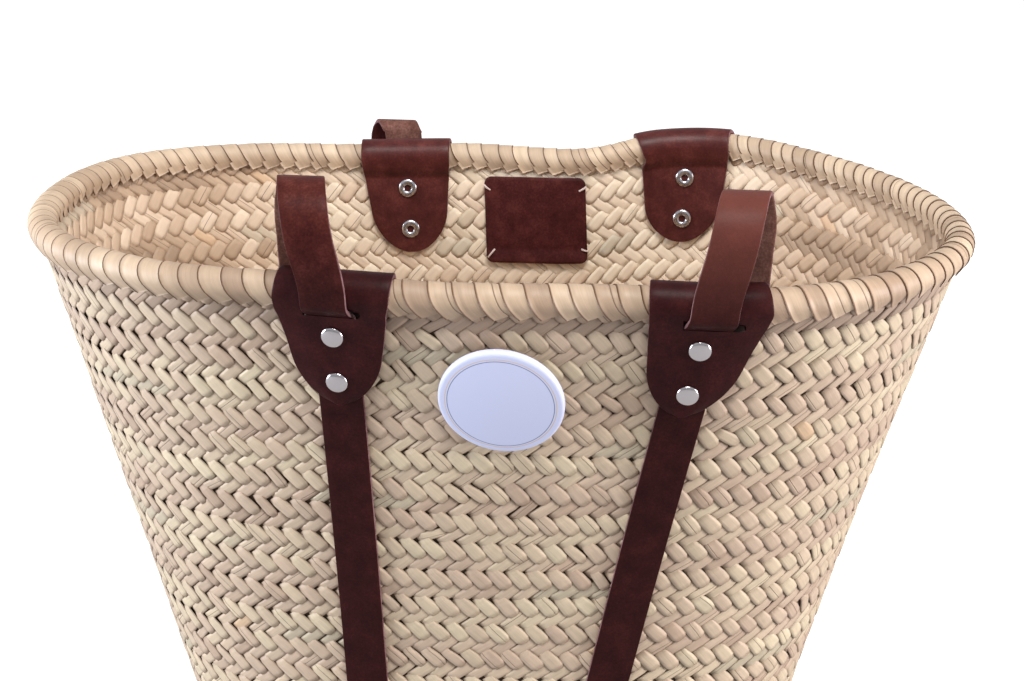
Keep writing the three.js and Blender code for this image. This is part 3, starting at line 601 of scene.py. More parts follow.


# Painted shade in the gaps between the outer leaves; a lighter painted-lit copy inside.
shaded_straw = cloudy("shaded_straw", (58, 44, 34), (104, 82, 62), 260.0)
lit_straw = cloudy("lit_straw", (184, 157, 130), (212, 186, 158), 260.0)
leaf_bundle = cloudy("leaf_bundle", (150, 122, 92), (206, 178, 142), 500.0)
print("under the leaves:", shaded_straw.name, lit_straw.name, leaf_bundle.name)

# %% Node group: pores and mottling of a hide
def build_hide():
    """Pores are small pits between cells, and the mottling is a cloud of lighter and darker dye
    with a finer one in it. All read the piece's own coordinates in metres."""
    group, given, out = new_group(
        "hide", {"Place": "Vector"}, dict.fromkeys(("Mottle", "Pores", "Height"), "Float"))
    place = given["Place"]
    cloud, fine = noise(group, place, 95.0, 4.0, 0.62), noise(group, place, 900.0, 2.0)
    cells = add_node(group, "ShaderNodeTexVoronoi", {"Vector": place, "Scale": 1300.0}).outputs[0]
    pores = spread(group, cells, 0.05, 0.4)
    mottle = math_node(group, "MULTIPLY_ADD", fine, 0.35, math_node(group, "MULTIPLY", cloud, 0.65))
    height = math_node(group, "MULTIPLY_ADD", pores, 0.5, math_node(group, "MULTIPLY", fine, 0.5))
    feed(group, out, {"Mottle": mottle, "Pores": pores, "Height": height})
    return group


hide = build_hide()
MOTTLE_STOPS = (0.34, 0.5, 0.66)
PAINTED_LIGHT_AT_RIGHT = paint(122, 72, 62)


def leather_material(name, dyes, roughness, depth, gloss, painted_lit_dyes=None):
    """A dyed hide: its mottling runs through three dyes from dark to light, and its pores are a
    little rougher. Where a second set of three lighter dyes is given, the hide passes to them above
    the rim, and to a lighter red still at the right: painted light on the arches."""
    material, tree, shader = new_material(name, paint(*dyes[1]), Roughness=roughness,
                                          Specular_IOR_Level=gloss)
    place = own_place(tree)
    skin = add_node(tree, "ShaderNodeGroup", {"Place": place}, node_tree=hide).outputs
    colour = ramp(tree, skin["Mottle"], list(zip(MOTTLE_STOPS, dyes)))
    # Painted light: lighter dyes above the rim, and a lighter red at the right.
    if painted_lit_dyes:
        across, _, height = add_node(tree, "ShaderNodeSeparateXYZ", {0: place}).outputs
        lighter = ramp(tree, skin["Mottle"], list(zip(MOTTLE_STOPS, painted_lit_dyes)))
        lighter = mix_colours(tree, spread(tree, across, 0.03, 0.1, 0.0, 0.7), lighter, PAINTED_LIGHT_AT_RIGHT)
        colour = mix_colours(tree, spread(tree, height, 0.285, 0.36), colour, lighter)
    rough = spread(tree, skin["Pores"], 0.0, 1.0, roughness + 0.12, roughness - 0.05)
    feed(tree, shader.inputs, {"Base Color": colour, "Roughness": rough,
                               "Normal": bump(tree, skin["Height"], depth, 0.0002)})
    return material


leather_grain = leather_material(
    "leather_grain", [(42, 15, 16), (52, 20, 21), (65, 27, 27)], 0.44, 0.3, 0.09)
# The straps' second set of dyes is painted light on the arches above the rim.
strap_grain = leather_material(
    "strap_grain", [(41, 15, 16), (50, 20, 20), (62, 26, 26)], 0.44, 0.3, 0.07,
    painted_lit_dyes=[(64, 26, 23), (84, 38, 32), (108, 56, 47)])
leather_edge = leather_material(
    "leather_edge", [(84, 52, 52), (118, 84, 86), (150, 116, 118)], 0.75, 0.6, 0.2)
leather_flesh = leather_material(
    "leather_flesh", [(78, 48, 40), (104, 69, 60), (134, 95, 84)], 0.9, 0.9, 0.15)
label_hide = leather_material(
    "label_hide", [(52, 19, 18), (68, 28, 27), (88, 42, 38)], 0.5, 0.3, 0.12)
# A lighter, glossier copy of the tab hide for the back tabs: its lighter dyes are painted light.
leather_painted_lit = leather_material(
    "leather_painted_lit", [(62, 25, 23), (78, 34, 31), (98, 48, 44)], 0.42, 0.35, 0.22)
LEATHER, STRAP_LEATHER, PAINTED_LIT_LEATHER, LABEL_LEATHER = (
    [grain, leather_edge, leather_flesh]
    for grain in (leather_grain, strap_grain, leather_painted_lit, label_hide))
print("hide:", len(hide.nodes), "nodes, used by", hide.users, "finishes")

# %% Metal
def worn_metal(name, colour, roughness, scratches):
    """Plated metal: a slow cloud of rubbed patches, and fine scratches in its gloss."""
    material, tree, shader = new_material(name, paint(*colour), Metallic=1.0, Roughness=roughness)
    place = own_place(tree)
    cloud, fine = noise(tree, place, 320.0, 4.0), noise(tree, place, 2600.0, 2.0)
    feed(tree, shader.inputs, {
        "Roughness": spread(tree, cloud, 0.35, 0.7, roughness * 0.7, roughness * 1.6),
        "Normal": bump(tree, fine, scratches, 0.00005)})
    return material


chrome = worn_metal("chrome", (216, 210, 212), 0.12, 0.12)
nickel = worn_metal("nickel", (206, 204, 208), 0.24, 0.2)
tinplate = worn_metal("tinplate", (186, 186, 188), 0.34, 0.3)
print("metals:", chrome.name, nickel.name, tinplate.name)

# %% Thread
thread, tree, shader = new_material("thread", paint(214, 192, 184), Roughness=0.7)
twist = add_node(tree, "ShaderNodeTexWave", {
    "Vector": own_place(tree), "Scale": 420.0, "Distortion": 2.0},
    bands_direction="DIAGONAL").outputs[1]
feed(tree, shader.inputs, {
    "Base Color": ramp(tree, twist, [(0.0, (188, 160, 152)), (0.6, (224, 204, 196))]),
    "Normal": bump(tree, twist, 0.6, 0.0001)})
print("thread:", len(tree.nodes), "nodes")

# %% The badge's film, with two thin rings near its edge
FILM, SHOULDER_HIGHLIGHT = (208, 213, 243), (214, 218, 246)
SLATE, OCHRE = (112, 120, 150), (216, 184, 146)
RING_SOFT = 0.005
badge_film, tree, shader = new_material("badge_film", paint(*FILM), Roughness=0.32,
                                        Specular_IOR_Level=0.3)
stops = [(0.0, FILM)]
for begin, end, colour in ((0.841, 0.849, SLATE), (0.877, 0.884, OCHRE)):
    stops += [(begin - RING_SOFT, FILM), (begin, colour), (end, colour), (end + RING_SOFT, FILM)]
# Towards its rim the film lightens: a painted highlight on the rolled shoulder.
stops.append((1.0, SHOULDER_HIGHLIGHT))
ripple = noise(tree, own_place(tree), 60.0, 3.0)
feed(tree, shader.inputs, {
    "Base Color": ramp(tree, read_mark(tree, "radius_share"), stops),
    "Roughness": spread(tree, ripple, 0.3, 0.7, 0.3, 0.36),
    "Normal": bump(tree, ripple, 0.04, 0.0003)})
print("badge film:", len(stops), "colour stops")

# %% [markdown]
# ## The plaited body
# The real basket is a long braid of palm leaf sewn into a spiral. From outside it shows as rows:
# one of broad leaves that lean down to the right, then one of narrower leaves that lean up to the
# right, each row's ends tucked under the next. A texture would look flat at the edge of the
# picture, so each leaf is a small domed body of its own, laid on the wall by its row and place.
# One leaf has only a few dozen faces, because thousands are needed.

# %% The shell that the leaves lie on
SLANT = 280.0
CORNER = 13.5
CORNER_LENGTH = CORNER * np.pi / 2
CORNER_END = SLANT + CORNER_LENGTH
BASE_REACH = BASE_HALF[1] - CORNER
BASE_LINE = 0.42
BACKING_OUT, BACKING_IN = 1.1, -1.8


def shell_middle(u, s):
    """The middle of the shell, s millimetres down from the rim: first the wall, then a quarter
    circle, then the flat base, whose rings shrink evenly onto a short middle line."""
    u, s = np.broadcast_arrays(np.asarray(u, float), np.asarray(s, float))
    wall = wall_middle(u, 1 - s / SLANT)
    foot = on_loop(base_table, u)
    step = on_loop(base_table, u + 0.002) - on_loop(base_table, u - 0.002)
    out = unit(np.stack([step[..., 1], -step[..., 0], 0 * step[..., 0]], axis=-1))
    turn = np.clip((s - SLANT) / CORNER_LENGTH, 0, 1) * np.pi / 2
    corner = foot + out * (CORNER * (np.cos(turn) - 1))[..., None]
    corner[..., 2] = WALL_FOOT - CORNER * np.sin(turn)
    middle = corner * (BASE_LINE, 0, 1)
    share = np.clip((s - CORNER_END) / BASE_REACH, 0, 1)[..., None]
    base = corner + (middle - corner) * share
    return np.where((s <= SLANT)[..., None], wall, base)


def shell_place(u, s, offset):
    """A point at this offset out of the shell's middle, square to its surface."""
    along = shell_middle(u + 0.0015, s) - shell_middle(u - 0.0015, s)
    rise = shell_middle(u, s - 0.6) - shell_middle(u, s + 0.6)
    return shell_middle(u, s) + unit(np.cross(along, rise)) * np.asarray(offset)[..., None]


def build_backing():
    """A closed shell from the rim to the base's middle line and back up inside."""
    u = np.arange(200) / 200
    down = np.r_[np.linspace(4.5, SLANT - 2, 42), SLANT + CORNER_LENGTH * np.linspace(0.1, 1, 7),
                 CORNER_END + BASE_REACH * np.linspace(0.12, 0.985, 9)][:, None]
    rings = np.concatenate([shell_place(u[None, :], down, BACKING_OUT),
                            shell_place(u[None, :], down[::-1], BACKING_IN)])
    quads = grid_quads(len(rings), len(u), wrap_rows=True, wrap_columns=True)
    # Outside, the backing takes the painted shade finish; inside, it takes the painted-lit one.
    kinds = np.repeat(np.arange(len(rings)) >= len(down) - 1, len(u))
    piece = make_piece("weave_backing", rings, [quads], [shaded_straw, lit_straw], kinds=kinds)
    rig.slot(piece, "straw")
    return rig.replaces(piece, "woven_body")


backing = build_backing()
print("backing:", len(backing.data.polygons), "faces")

# %% Rows of leaves
TAB_X = {(-1, -1): -64.0, (-1, 1): 98.0, (1, -1): -59.5, (1, 1): 97.5}
TAB_SHADE = 15
LEAF_PITCH = 9.3
LEAF_THICKNESS = 0.5
BROAD = {"width": 7.3, "length": 10.5, "turn": math.radians(-51.7), "tuck": (1.8, 0.8)}
NARROW = {"width": 5.7, "length": 13.4, "turn": math.radians(37.8), "tuck": (1.2, 1.2)}
BROAD_TOP, NARROW_TOP = 2.9, 2.62
PAIR_PITCH = 16.46
FIRST_BROAD = 12.0 + PAIR_PITCH / 2
UPPER_PAIRS, WALL_PAIRS = 8, 16
ODD_SHARE, RUST_SHARE = 0.06, 0.006
# The last of these tints is painted shade, for leaves under the tabs.
GREY_TINT, RUST_TINT, SHADE_TINT = 0.86, 1.0, -1.0


def direction(angle):
    """The flat unit vector at this angle."""
    return np.array([math.cos(angle), math.sin(angle)])


BROAD_TO_NARROW = direction(BROAD["turn"]) * (BROAD["length"] + NARROW["width"]) / 2 \
    + direction(NARROW["turn"]) * (BROAD["width"] - NARROW["length"]) / 2


def ring_length(s):
    """The length of the shell's ring at this distance down."""
    return float(run_lengths(shell_middle(np.arange(241) / 240, s))[-1])


def leaf_rows(pairs):
    """Every row's leaves: their places round, the depth, and the row's length. Each pair of rows
    has one count of leaves, and the narrow row's ends meet the broad leaves' long sides."""
    rows = []
    for k in range(-1, pairs):
        down = FIRST_BROAD + PAIR_PITCH * k
        around = ring_length(min(max(down, 6), CORNER_END + BASE_REACH * 0.97))
        count = max(int(round(around / LEAF_PITCH)), 8)
        places = (np.arange(count) + chance.random()) / count
        for kind, (x, y) in enumerate(((0, 0), BROAD_TO_NARROW)):
            rows.append({"kind": kind, "row": k, "u": places + x / around, "s": down - y,
                         "around": around})
    return rows


def wander(u, s):
    """How far a row strays from its line: two slow waves round the basket, which change on the way
    down."""
    return 0.8 * np.sin(2 * np.pi * (3 * u + s / 140)) + 0.5 * np.sin(2 * np.pi * (8 * u - s / 61))


print("from a broad leaf to its narrow one:", BROAD_TO_NARROW.round(2), "mm")

# %% The shape of a leaf
def leaf_shapes(kind, count, across, along, inside):
    """The flat outline and the height of count leaves, on a grid of across by along points. The
    leaves nearly touch, and dip only where their ends go under their neighbours. A broad leaf's
    lower end is round and lies high, over the next row, and its right side is drawn in. Six
    leaves in a hundred are slim and lie askew."""
    size, each = NARROW if kind else BROAD, (count, 1, 1)
    rough, flat = (0.4, 0.5) if inside else (1.0, 1.0)
    t = np.linspace(-1, 1, across)[None, :, None]
    q = np.linspace(-1, 1, along)[None, None, :]
    wide = size["width"] / 2 - chance.uniform(-0.2, 0.14, each) * rough + 0.1 * inside
    odd = (chance.random(each) < ODD_SHARE) * rough
    turn = chance.normal(0, 0.035, each) * rough + odd * chance.normal(0, 0.13, each)
    lift = chance.uniform(-0.18, 0.12, each) * rough
    dome = 0.2 * np.abs(t) ** 3 * flat + 0.1 * np.sin(q * 2.2) * t
    slim = 1 - 0.04 * np.abs(q) ** 3
    if kind:
        height = NARROW_TOP - 0.8 * flat * smooth(0.7, 1.0, np.abs(q))
    else:
        drawn_in = np.where(t > 0, 0.25 * np.clip(-q, 0, 1) ** 1.5, 0)
        slim = slim - drawn_in - 0.3 * smooth(0.6, 1, q) ** 2
        height = BROAD_TOP - 0.2 * inside - 0.9 * flat * smooth(0.62, 1.0, -q) \
            - 0.25 * smooth(0.6, 1.0, q) ** 2
    x = q * (size["length"] / 2) + q * np.where(q > 0, size["tuck"][1], size["tuck"][0])
    y = t * wide * (1 - 0.22 * odd) * slim
    x, y, height, t, q = np.broadcast_arrays(x, y, height + lift - dome, t, q)
    cos, sin = np.cos(size["turn"] + turn), np.sin(size["turn"] + turn)
    return x * cos - y * sin, x * sin + y * cos, height, t, q


def leaf_faces(across, along):
    """A leaf's faces: the grid on top, a strip of side faces, and one face underneath."""
    loop = grid_border(across, along)
    below = across * along + np.arange(len(loop))
    sides = np.column_stack([loop, np.roll(loop, -1), np.roll(below, -1), below])
    return grid_quads(across, along), sides, below[::-1][None, :], loop


# %% The tint of a leaf
def under_tab(places):
    """Whether each place lies well under one of the four tabs."""
    return np.any([(np.abs(places[:, 0] - x) < TAB_SHADE) & (np.sign(places[:, 1]) == side)
                   for (side, _), x in TAB_X.items()], axis=0)


def leaf_tints(row, places, inside):
    """Each leaf's tint. It drifts along the row. Inside it is raised by painted light in the middle
    and lowered by painted shade towards the basket's ends, and outside the first row is darkened
    by painted shade under the rim. Some leaves are grey or rust, and those under a tab take the
    painted shade tint."""
    u, k, kind = row["u"], row["row"], row["kind"]
    drift = 0.15 * np.sin(2 * np.pi * (2.3 * u + 0.37 * k + 0.2 * kind))
    tint = np.clip(0.44 + drift + chance.normal(0, 0.1, len(u)) - 0.06 * kind, 0.1, 0.76)
    # Painted light and shade inside, and painted shade under the rim outside.
    if inside:
        tint = tint + 0.2 - 0.5 * smooth(70, 190, np.abs(places[:, 0, 0]))
    elif k < 0:
        tint = np.clip(tint - 0.4, 0.0, 0.14)
    grey = (np.sin(2 * np.pi * (1.7 * u + 0.61 * k)) > 0.97) & (kind == 1)
    tint = np.where(grey, GREY_TINT, tint)
    tint = np.where(chance.random(len(u)) < RUST_SHARE, RUST_TINT, tint)
    # Leaves under a tab take the painted shade tint.
    return np.where(under_tab(places.mean(axis=1)) & (k < 1), SHADE_TINT, tint)


# %% All the leaves as five meshes
def build_leaves(name, rows, across, along, material, inside=False):
    """All leaves of some rows as one mesh. A leaf's border is repeated deeper, as its underside.
    On the inside its heights are measured inwards."""
    top, sides, under, loop = leaf_faces(across, along)
    points, uv, seeds, tints = [], [], [], []
    for row in rows:
        count, u, s = len(row["u"]), row["u"][:, None, None], row["s"]
        x, y, height, t, q = leaf_shapes(row["kind"], count, across, along, inside)
        hollow = 0.15 * (1 - np.cos(2 * np.pi * (s - FIRST_BROAD) / PAIR_PITCH)) / 2
        grids = (u + x / row["around"], s + wander(u, s) - y, height - hollow, t, q)
        u, s, height, t, q = (np.concatenate([g, g[:, loop]], axis=1)
                              for g in (grid.reshape(count, -1) for grid in grids))
        height[:, across * along:] -= LEAF_THICKNESS
        places = shell_place(u, s, -height if inside else height)
        points.append(places.reshape(-1, 3))
        uv.append(np.column_stack([t.ravel(), q.ravel()]) / 2 + 0.5)
        seeds.append(np.repeat(chance.random(count), u.shape[1]))
        tints.append(np.repeat(leaf_tints(row, places, inside), u.shape[1]))
    total = sum(len(row["u"]) for row in rows)
    start = (np.arange(total) * (across * along + len(loop)))[:, None, None]
    groups = [(g[None] + start).reshape(-1, g.shape[1]) for g in (top, sides, under)]
    marks = {"leaf_seed": np.concatenate(seeds), "leaf_tint": np.concatenate(tints)}
    piece = make_piece(name, np.concatenate(points), groups, [material], uv=np.concatenate(uv),
                       marks=marks)
    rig.slot(piece, "straw")
    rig.replaces(piece, "woven_body")
    print(name, total, "leaves,", sum(len(g) * (g.shape[1] - 2) for g in groups), "triangles")


rows = leaf_rows(int((CORNER_END + BASE_REACH - FIRST_BROAD) / PAIR_PITCH))
upper = [r for r in rows if r["row"] < UPPER_PAIRS]
lower = [r for r in rows if r["row"] >= UPPER_PAIRS]
build_leaves("weave_upper", upper, 5, 6, straw)
build_leaves("weave_lower", [r for r in lower if r["row"] < WALL_PAIRS], 5, 6, straw)
build_leaves("weave_base", [r for r in lower if r["row"] >= WALL_PAIRS], 5, 6, straw)
build_leaves("weave_upper_inside", upper, 4, 5, straw_inside, inside=True)
build_leaves("weave_lower_inside", lower, 4, 5, straw_inside, inside=True)

# %% [markdown]
# ## The wrapped rim
# The rim is a bundle of leaf with a strip wound round it, over the wall's edge. Each turn leans,
# and its left edge lies on the turn before. Here each turn is one curved strip, carried along the
# rim's own section from the outside, over the top, and down the inside.

# %% Turns of leaf round the rim
RIM_SLANT = 14.8
RIM_RADIUS = 6.95
RIM_PITCH = [(0.0, 9.0), (0.06, 7.2), (0.2, 7.0), (0.27, 9.0), (0.4, 9.4), (0.5, 8.6),
             (0.58, 9.6), (0.66, 9.9), (0.74, 10.4), (0.8, 9.9), (0.93, 9.8), (1.0, 9.0)]


def rim_section():
    """The line that a turn follows, as [out of the wall, up it]: up the outside, round a circle,
    and down the inside. The second result is each point's share of the way."""
    angle = np.radians(np.linspace(-32, 212, 60))
    arc = RIM_RADIUS * np.column_stack([np.cos(angle), np.sin(angle)])
    leg = np.array([[4.75, -5.8], [5.5, -4.4]])
    line = np.vstack([leg, arc[3:-3], leg[::-1] * (-1, 1)])
    length = run_lengths(line)
    share = np.r_[0, 0.02, 0.05, np.linspace(0.1, 0.9, 15), 0.95, 0.98, 1]
    return points_at(line, length, share * length[-1]), share


def rim_places(around):
    """Where the turns start, and how far apart they are there: the count of turns up to a place is
    the sum of 1 / pitch, and every whole number is a turn."""
    u = np.linspace(0, 1, 2001)
    pitch = np.interp((u[1:] + u[:-1]) / 2, *np.array(RIM_PITCH).T)
    count = np.r_[0, np.cumsum(around / 2000 / pitch)]
    turns = int(round(count[-1]))
    place = np.interp(np.arange(turns + 1) * count[-1] / turns, count, u) * around
    return place[:-1], np.diff(place)


def build_rim():
    """Every turn of the wrapping as a closed strip, whose points lie on the rim's section, lifted
    square to it and carried along by the turn's lean."""
    line, share = rim_section()
    across, steps = 5, len(line)
    tangent = unit(np.gradient(line, axis=0))
    square = np.column_stack([tangent[:, 1], -tangent[:, 0]])
    around = ring_length(2.0)
    start, pitch = (a[:, None, None] for a in rim_places(around))
    turns, each = len(start), start.shape
    t, q = np.linspace(-1, 1, across)[None, :, None], share[None, None, :]
    to_end = np.abs(2 * q - 1)
    wide = pitch * 0.6 * chance.uniform(0.96, 1.05, each) * (1 - 0.1 * smooth(0.9, 1.0, to_end))
    lean = RIM_SLANT * (0.5 - q) - 1.6 * np.sin(2 * np.pi * q) \
        + chance.normal(0, 0.3, each) * np.sin(3 * q)
    x = start + chance.normal(0, 0.04, each) * pitch + lean + t * wide
    lift = 0.12 - 0.3 * t - 0.1 * t ** 2 + chance.uniform(-0.06, 0.08, each)
    cut = to_end ** 6 * 1.9 * t * np.sign(0.5 - q)
    place, _, out, up = wall_frame(x / around, np.ones(x.shape))
    layers = [place + out * (line[:, 0] + square[:, 0] * (lift - drop))[..., None]
              + up * (line[:, 1] + square[:, 1] * (lift - drop) + cut)[..., None]
              for drop in (0.0, LEAF_THICKNESS)]
    points = np.stack(layers, axis=1).reshape(-1, 3)
    size = 2 * across * steps
    faces = np.concatenate(slab_faces(across, steps))
    faces = (faces[None] + (np.arange(turns) * size)[:, None, None]).reshape(-1, 4)
    uv = np.stack(np.broadcast_arrays(t / 2 + 0.5, q * 2.0, x)[:2], axis=-1)
    middle = points.reshape(turns, -1, 3).mean(axis=1)
    # Besides their random tint, the turns are lighter towards the back: painted light.
    tint = 0.65 * chance.random(turns) + 0.35 * smooth(-125, -50, middle[:, 1])
    # Turns under a tab take the painted shade tint too.
    tint = np.where(under_tab(middle), SHADE_TINT, tint)
    piece = make_piece("rim_turns", points, [faces], [rim_leaf],
                       uv=np.stack([uv, uv], axis=1).reshape(-1, 2),
                       marks={"leaf_seed": np.repeat(chance.random(turns), size),
                              "leaf_tint": np.repeat(tint, size)})
    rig.slot(piece, "rim_leaf")
    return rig.replaces(piece, "rim_wrap")


rim = build_rim()
print("rim:", len(rim.data.polygons), "faces")

# %% [markdown]
# ## Leather straps and handles
# Both girth straps and both handles are one closed band: down the front wall, under the base, up
# the back, round the back handle, and the same again on the other side. One smooth line runs
# through all of it, and each piece is a slice of that line, so that neighbours meet exactly. The
# leather is 2.5 mm hide, dyed on its grain side, raw at its cut edges and brown suede behind.

# %% Where the straps run
STRAP_BASE_X = {-1: -53.0, 1: 49.0}
CROSSING = {(-1, -1): (1, 1), (-1, 1): (1, 1), (1, -1): (0.28, 1), (1, 1): (1, 2.5)}
WALL_OFFSET = 4.45
OVER_TAB = 11.95
SLOT_EXIT = [(-14, 0), (-11.6, 0.01), (-10.2, 0.05), (-9, 0.15), (-7.5, 0.35), (-5.5, 0.63),
             (-4, 0.82), (-2.6, 0.95), (-0.8, 1.03), (2, 1.03), (5, 1.03)]
WALL_STOPS = [0.07, 0.125, 0.168, 0.22, 0.33, 0.475, 0.62, 0.766, 0.894]
FOOT_RADIUS, FOOT_GAP, FOOT_OUT = 16, 0.7, 2.5
ARCHES = {-1: {"rises": (29, 29), "radius": 19, "foot_lean": 5.5, "side_lean": 11, "hang": 10},
          1: {"rises": (10, -1), "radius": 5, "foot_lean": 0.5, "side_lean": 8, "hang": 0}}
HANDLE_LENGTH = 700


def strap_x(side, hand, depth):
    """The strap's middle: from its tab towards its place under the base."""
    reach, curve = CROSSING[side, hand]
    share = np.clip(-np.asarray(depth, float) / (WALL_HEIGHT * reach), 0, 1)
    return TAB_X[side, hand] + (STRAP_BASE_X[hand] - TAB_X[side, hand]) * share ** curve


def rows_of(points, grain, across=(0, 0, 0)):
    """Rows that a strap passes through: the place, the side that its grain faces, and its across
    direction, which is zero where it follows from the other two."""
    return np.hstack(np.broadcast_arrays(points, grain, np.asarray(across, float)))


def slot_run(side, hand, height):
    """From under the tab, out through its slot, up to just below this height."""
    depth, share = np.array(SLOT_EXIT).T
    x = strap_x(side, hand, depth) + hand * 0.12 * (depth - depth[0])
    points = at_rim(side, x, depth, WALL_OFFSET + share * (OVER_TAB - WALL_OFFSET))
    across = wall_frame(round_at(side, TAB_X[side, hand], RIM_MIDDLE), 1)[1]
    grain = unit(np.cross(across, np.gradient(points, axis=0)))
    return rows_of(points, grain, across)[points[:, 2] < height - STRAP_THICKNESS / 2]


print("straps at the tabs' tips:", {key: round(float(strap_x(*key, -50)), 1) for key in CROSSING})

# %% Arches of the handles
def arch_of(side):
    """Both arches of a handle bend about one line, through their feet."""
    shape, feet = ARCHES[side], {}
    for hand, rise in zip((-1, 1), shape["rises"]):
        x = TAB_X[side, hand]
        rim = RIM_MIDDLE + float(on_loop(mouth_table, round_at(side, x, RIM_MIDDLE))[2])
        start = slot_run(side, hand, rim + rise)[-1]
        level = min(rise, start[2] - rim + STRAP_THICKNESS)
        y = at_rim(side, x, level, OVER_TAB)[1]
        feet[hand] = np.array([start[0] + hand * shape["foot_lean"], y + side, rim + rise])
    axis = unit(feet[1] - feet[-1])
    ahead = unit(np.cross((0, 0, 1), axis))
    return {**shape, "feet": feet, "axis": axis, "ahead": ahead, "up": np.cross(axis, ahead)}


arches = {side: arch_of(side) for side in (-1, 1)}
print("arch feet:", {SIDE_WORD[side]: arches[side]["feet"][-1].round(1) for side in arches})


def arch_run(side, hand, angles):
    """Rows on the arch at these angles of its half turn: a circle that leans sideways evenly."""
    arch = arches[side]
    angles = np.asarray(angles, float)[:, None]
    turn = np.radians(angles)
    ahead, up = arch["ahead"], arch["up"]
    lean = arch["axis"] * hand * arch["side_lean"] * angles / 180
    points = arch["feet"][hand] + lean \
        + arch["radius"] * (ahead * (1 - np.cos(turn)) + up * np.sin(turn))
    return rows_of(points, side * (ahead * np.cos(turn) - up * np.sin(turn)), arch["axis"])


# %% Down the wall, under the base and round the handles
def wall_run(side, hand):
    """Down the wall and round the foot's corner, a circle just outside the wall's own."""
    depth = -np.array(WALL_STOPS) * WALL_HEIGHT
    x = strap_x(side, hand, depth)
    wall = rows_of(at_rim(side, x, depth, WALL_OFFSET), out_at(side, x, depth))
    u = round_at(side, STRAP_BASE_X[hand], WALL_FOOT)
    out = unit(wall_frame(u, 0.0)[2] * (1, 1, 0))
    angle = np.radians([90, 68, 45, 22, 0])[:, None]
    radius = FOOT_RADIUS + FOOT_GAP + STRAP_THICKNESS / 2
    corner = on_loop(base_table, u) + out * (FOOT_OUT - FOOT_RADIUS + radius * np.sin(angle))
    corner[:, 2] = WALL_FOOT - radius * np.cos(angle[:, 0])
    grain = out * np.sin(angle) - np.array([0, 0, 1]) * np.cos(angle)
    return np.vstack([wall, rows_of(corner, grain)])


def girth_run(hand):
    """From the front arch's foot down, under the base, and up to the back arch's foot."""
    halves = []
    for side in (-1, 1):
        foot = arches[side]["feet"][hand][2]
        halves.append(np.vstack([arch_run(side, hand, [0]), slot_run(side, hand, foot)[::-1],
                                 wall_run(side, hand)]))
    share = np.linspace(0, 1, 9)[1:-1, None]
    under = halves[0][-1] + (halves[1][-1] - halves[0][-1]) * share
    return np.vstack([halves[0], under, halves[1][::-1]])


def handle_run(side):
    """From the left arch's end down, round the bottom and up to the right arch's end. Each leg
    turns a quarter round on its way down, so that the strap bends flat round the bottom."""
    arch = arches[side]
    end = 180 - arch["hang"]
    ends = [arch_run(side, hand, [end])[0] for hand in (-1, 1)]
    half = np.linalg.norm(ends[1][:3] - ends[0][:3]) / 2
    middle = (ends[0][:3] + ends[1][:3]) / 2
    in_arches = 2 * np.pi * arch["radius"] * end / 180 + sum(arch["rises"])
    leg = (HANDLE_LENGTH - in_arches - np.pi * half) / 2
    hang = math.radians(arch["hang"])
    down = arch["ahead"] * math.sin(hang) - arch["up"] * math.cos(hang)
    share = np.array([0.15, 0.3, 0.45, 0.6, 0.75, 0.9])[:, None]
    turn = share * np.pi / 2
    legs = [rows_of(end_row[:3] + down * leg * share,
                    end_row[3:6] * np.cos(turn) + arch["axis"] * hand * np.sin(turn))
            for hand, end_row in zip((-1, 1), ends)]
    bend = np.linspace(0, np.pi, 15)[:, None]
    radial = down * np.sin(bend) - arch["axis"] * np.cos(bend)
    bottom = rows_of(middle + down * leg + radial * half, radial)
    return np.vstack([ends[0], legs[0], bottom, legs[1][::-1], ends[1]])


print("handles hang down to", [round(float(handle_run(side)[:, 2].min()), 1) for side in arches])

# %% Helpers for the band
SOFT_EDGE = 0.7
EDGE_CAPS = [1, 1]


def smooth_loop(rows, spacing):
    """A closed smooth line that passes every row. A row's heading is the mean of the directions of
    the stretches before and after it, each weighted by the other's length. Between two rows the
    line is the cubic with their headings, cut into steps of about the row's spacing."""
    place = rows[:, :3]
    step = np.roll(place, -1, axis=0) - place
    length = np.linalg.norm(step, axis=1)[:, None]
    ahead = step / length
    before, behind = np.roll(length, 1, axis=0), np.roll(ahead, 1, axis=0)
    heading = (behind * length + ahead * before) / (length + before)
    default = unit(np.cross(heading, rows[:, 3:6]))
    agree = np.sign(np.einsum("ij,ij->i", rows[:, 6:], default))[:, None]
    across = np.where(agree == 0, default, rows[:, 6:] * agree)
    count = np.maximum(np.round(length[:, 0] / spacing).astype(int), 1)
    first = np.r_[0, np.cumsum(count)]
    i = np.repeat(np.arange(len(rows)), count)
    j = (i + 1) % len(rows)
    f = ((np.arange(first[-1]) - first[i]) / count[i])[:, None]
    line = cubic(f, place[i], step[i], heading[i] * length[i], heading[j] * length[i])
    return line, across[i] + (across[j] - across[i]) * f * f * (3 - 2 * f), first


def band_section(columns, thickness):
    """A band's cut, anticlockwise, as [share of half the width less the soft edge, more across,
    through], and what each side of it is: grain 0, edge 1, flesh 2."""
    flat, top = np.linspace(-1, 1, columns), thickness / 2
    arc = np.radians([0, 30, 60, 90])
    right = np.column_stack([np.ones(4), SOFT_EDGE * np.sin(arc),
                             top - SOFT_EDGE * (1 - np.cos(arc))])
    across = np.column_stack([flat, 0 * flat, np.full(columns, top)])
    section = np.vstack([across[:-1], right, right[::-1] * (1, 1, -1),
                         across[-2:0:-1] * (1, 1, -1), -right, (right * (-1, -1, 1))[:0:-1]])
    centre = (section[:, 2] + np.roll(section[:, 2], -1)) / 2
    return section, np.where(np.abs(centre) < top - 0.25, 1, np.where(centre > 0, 0, 2))


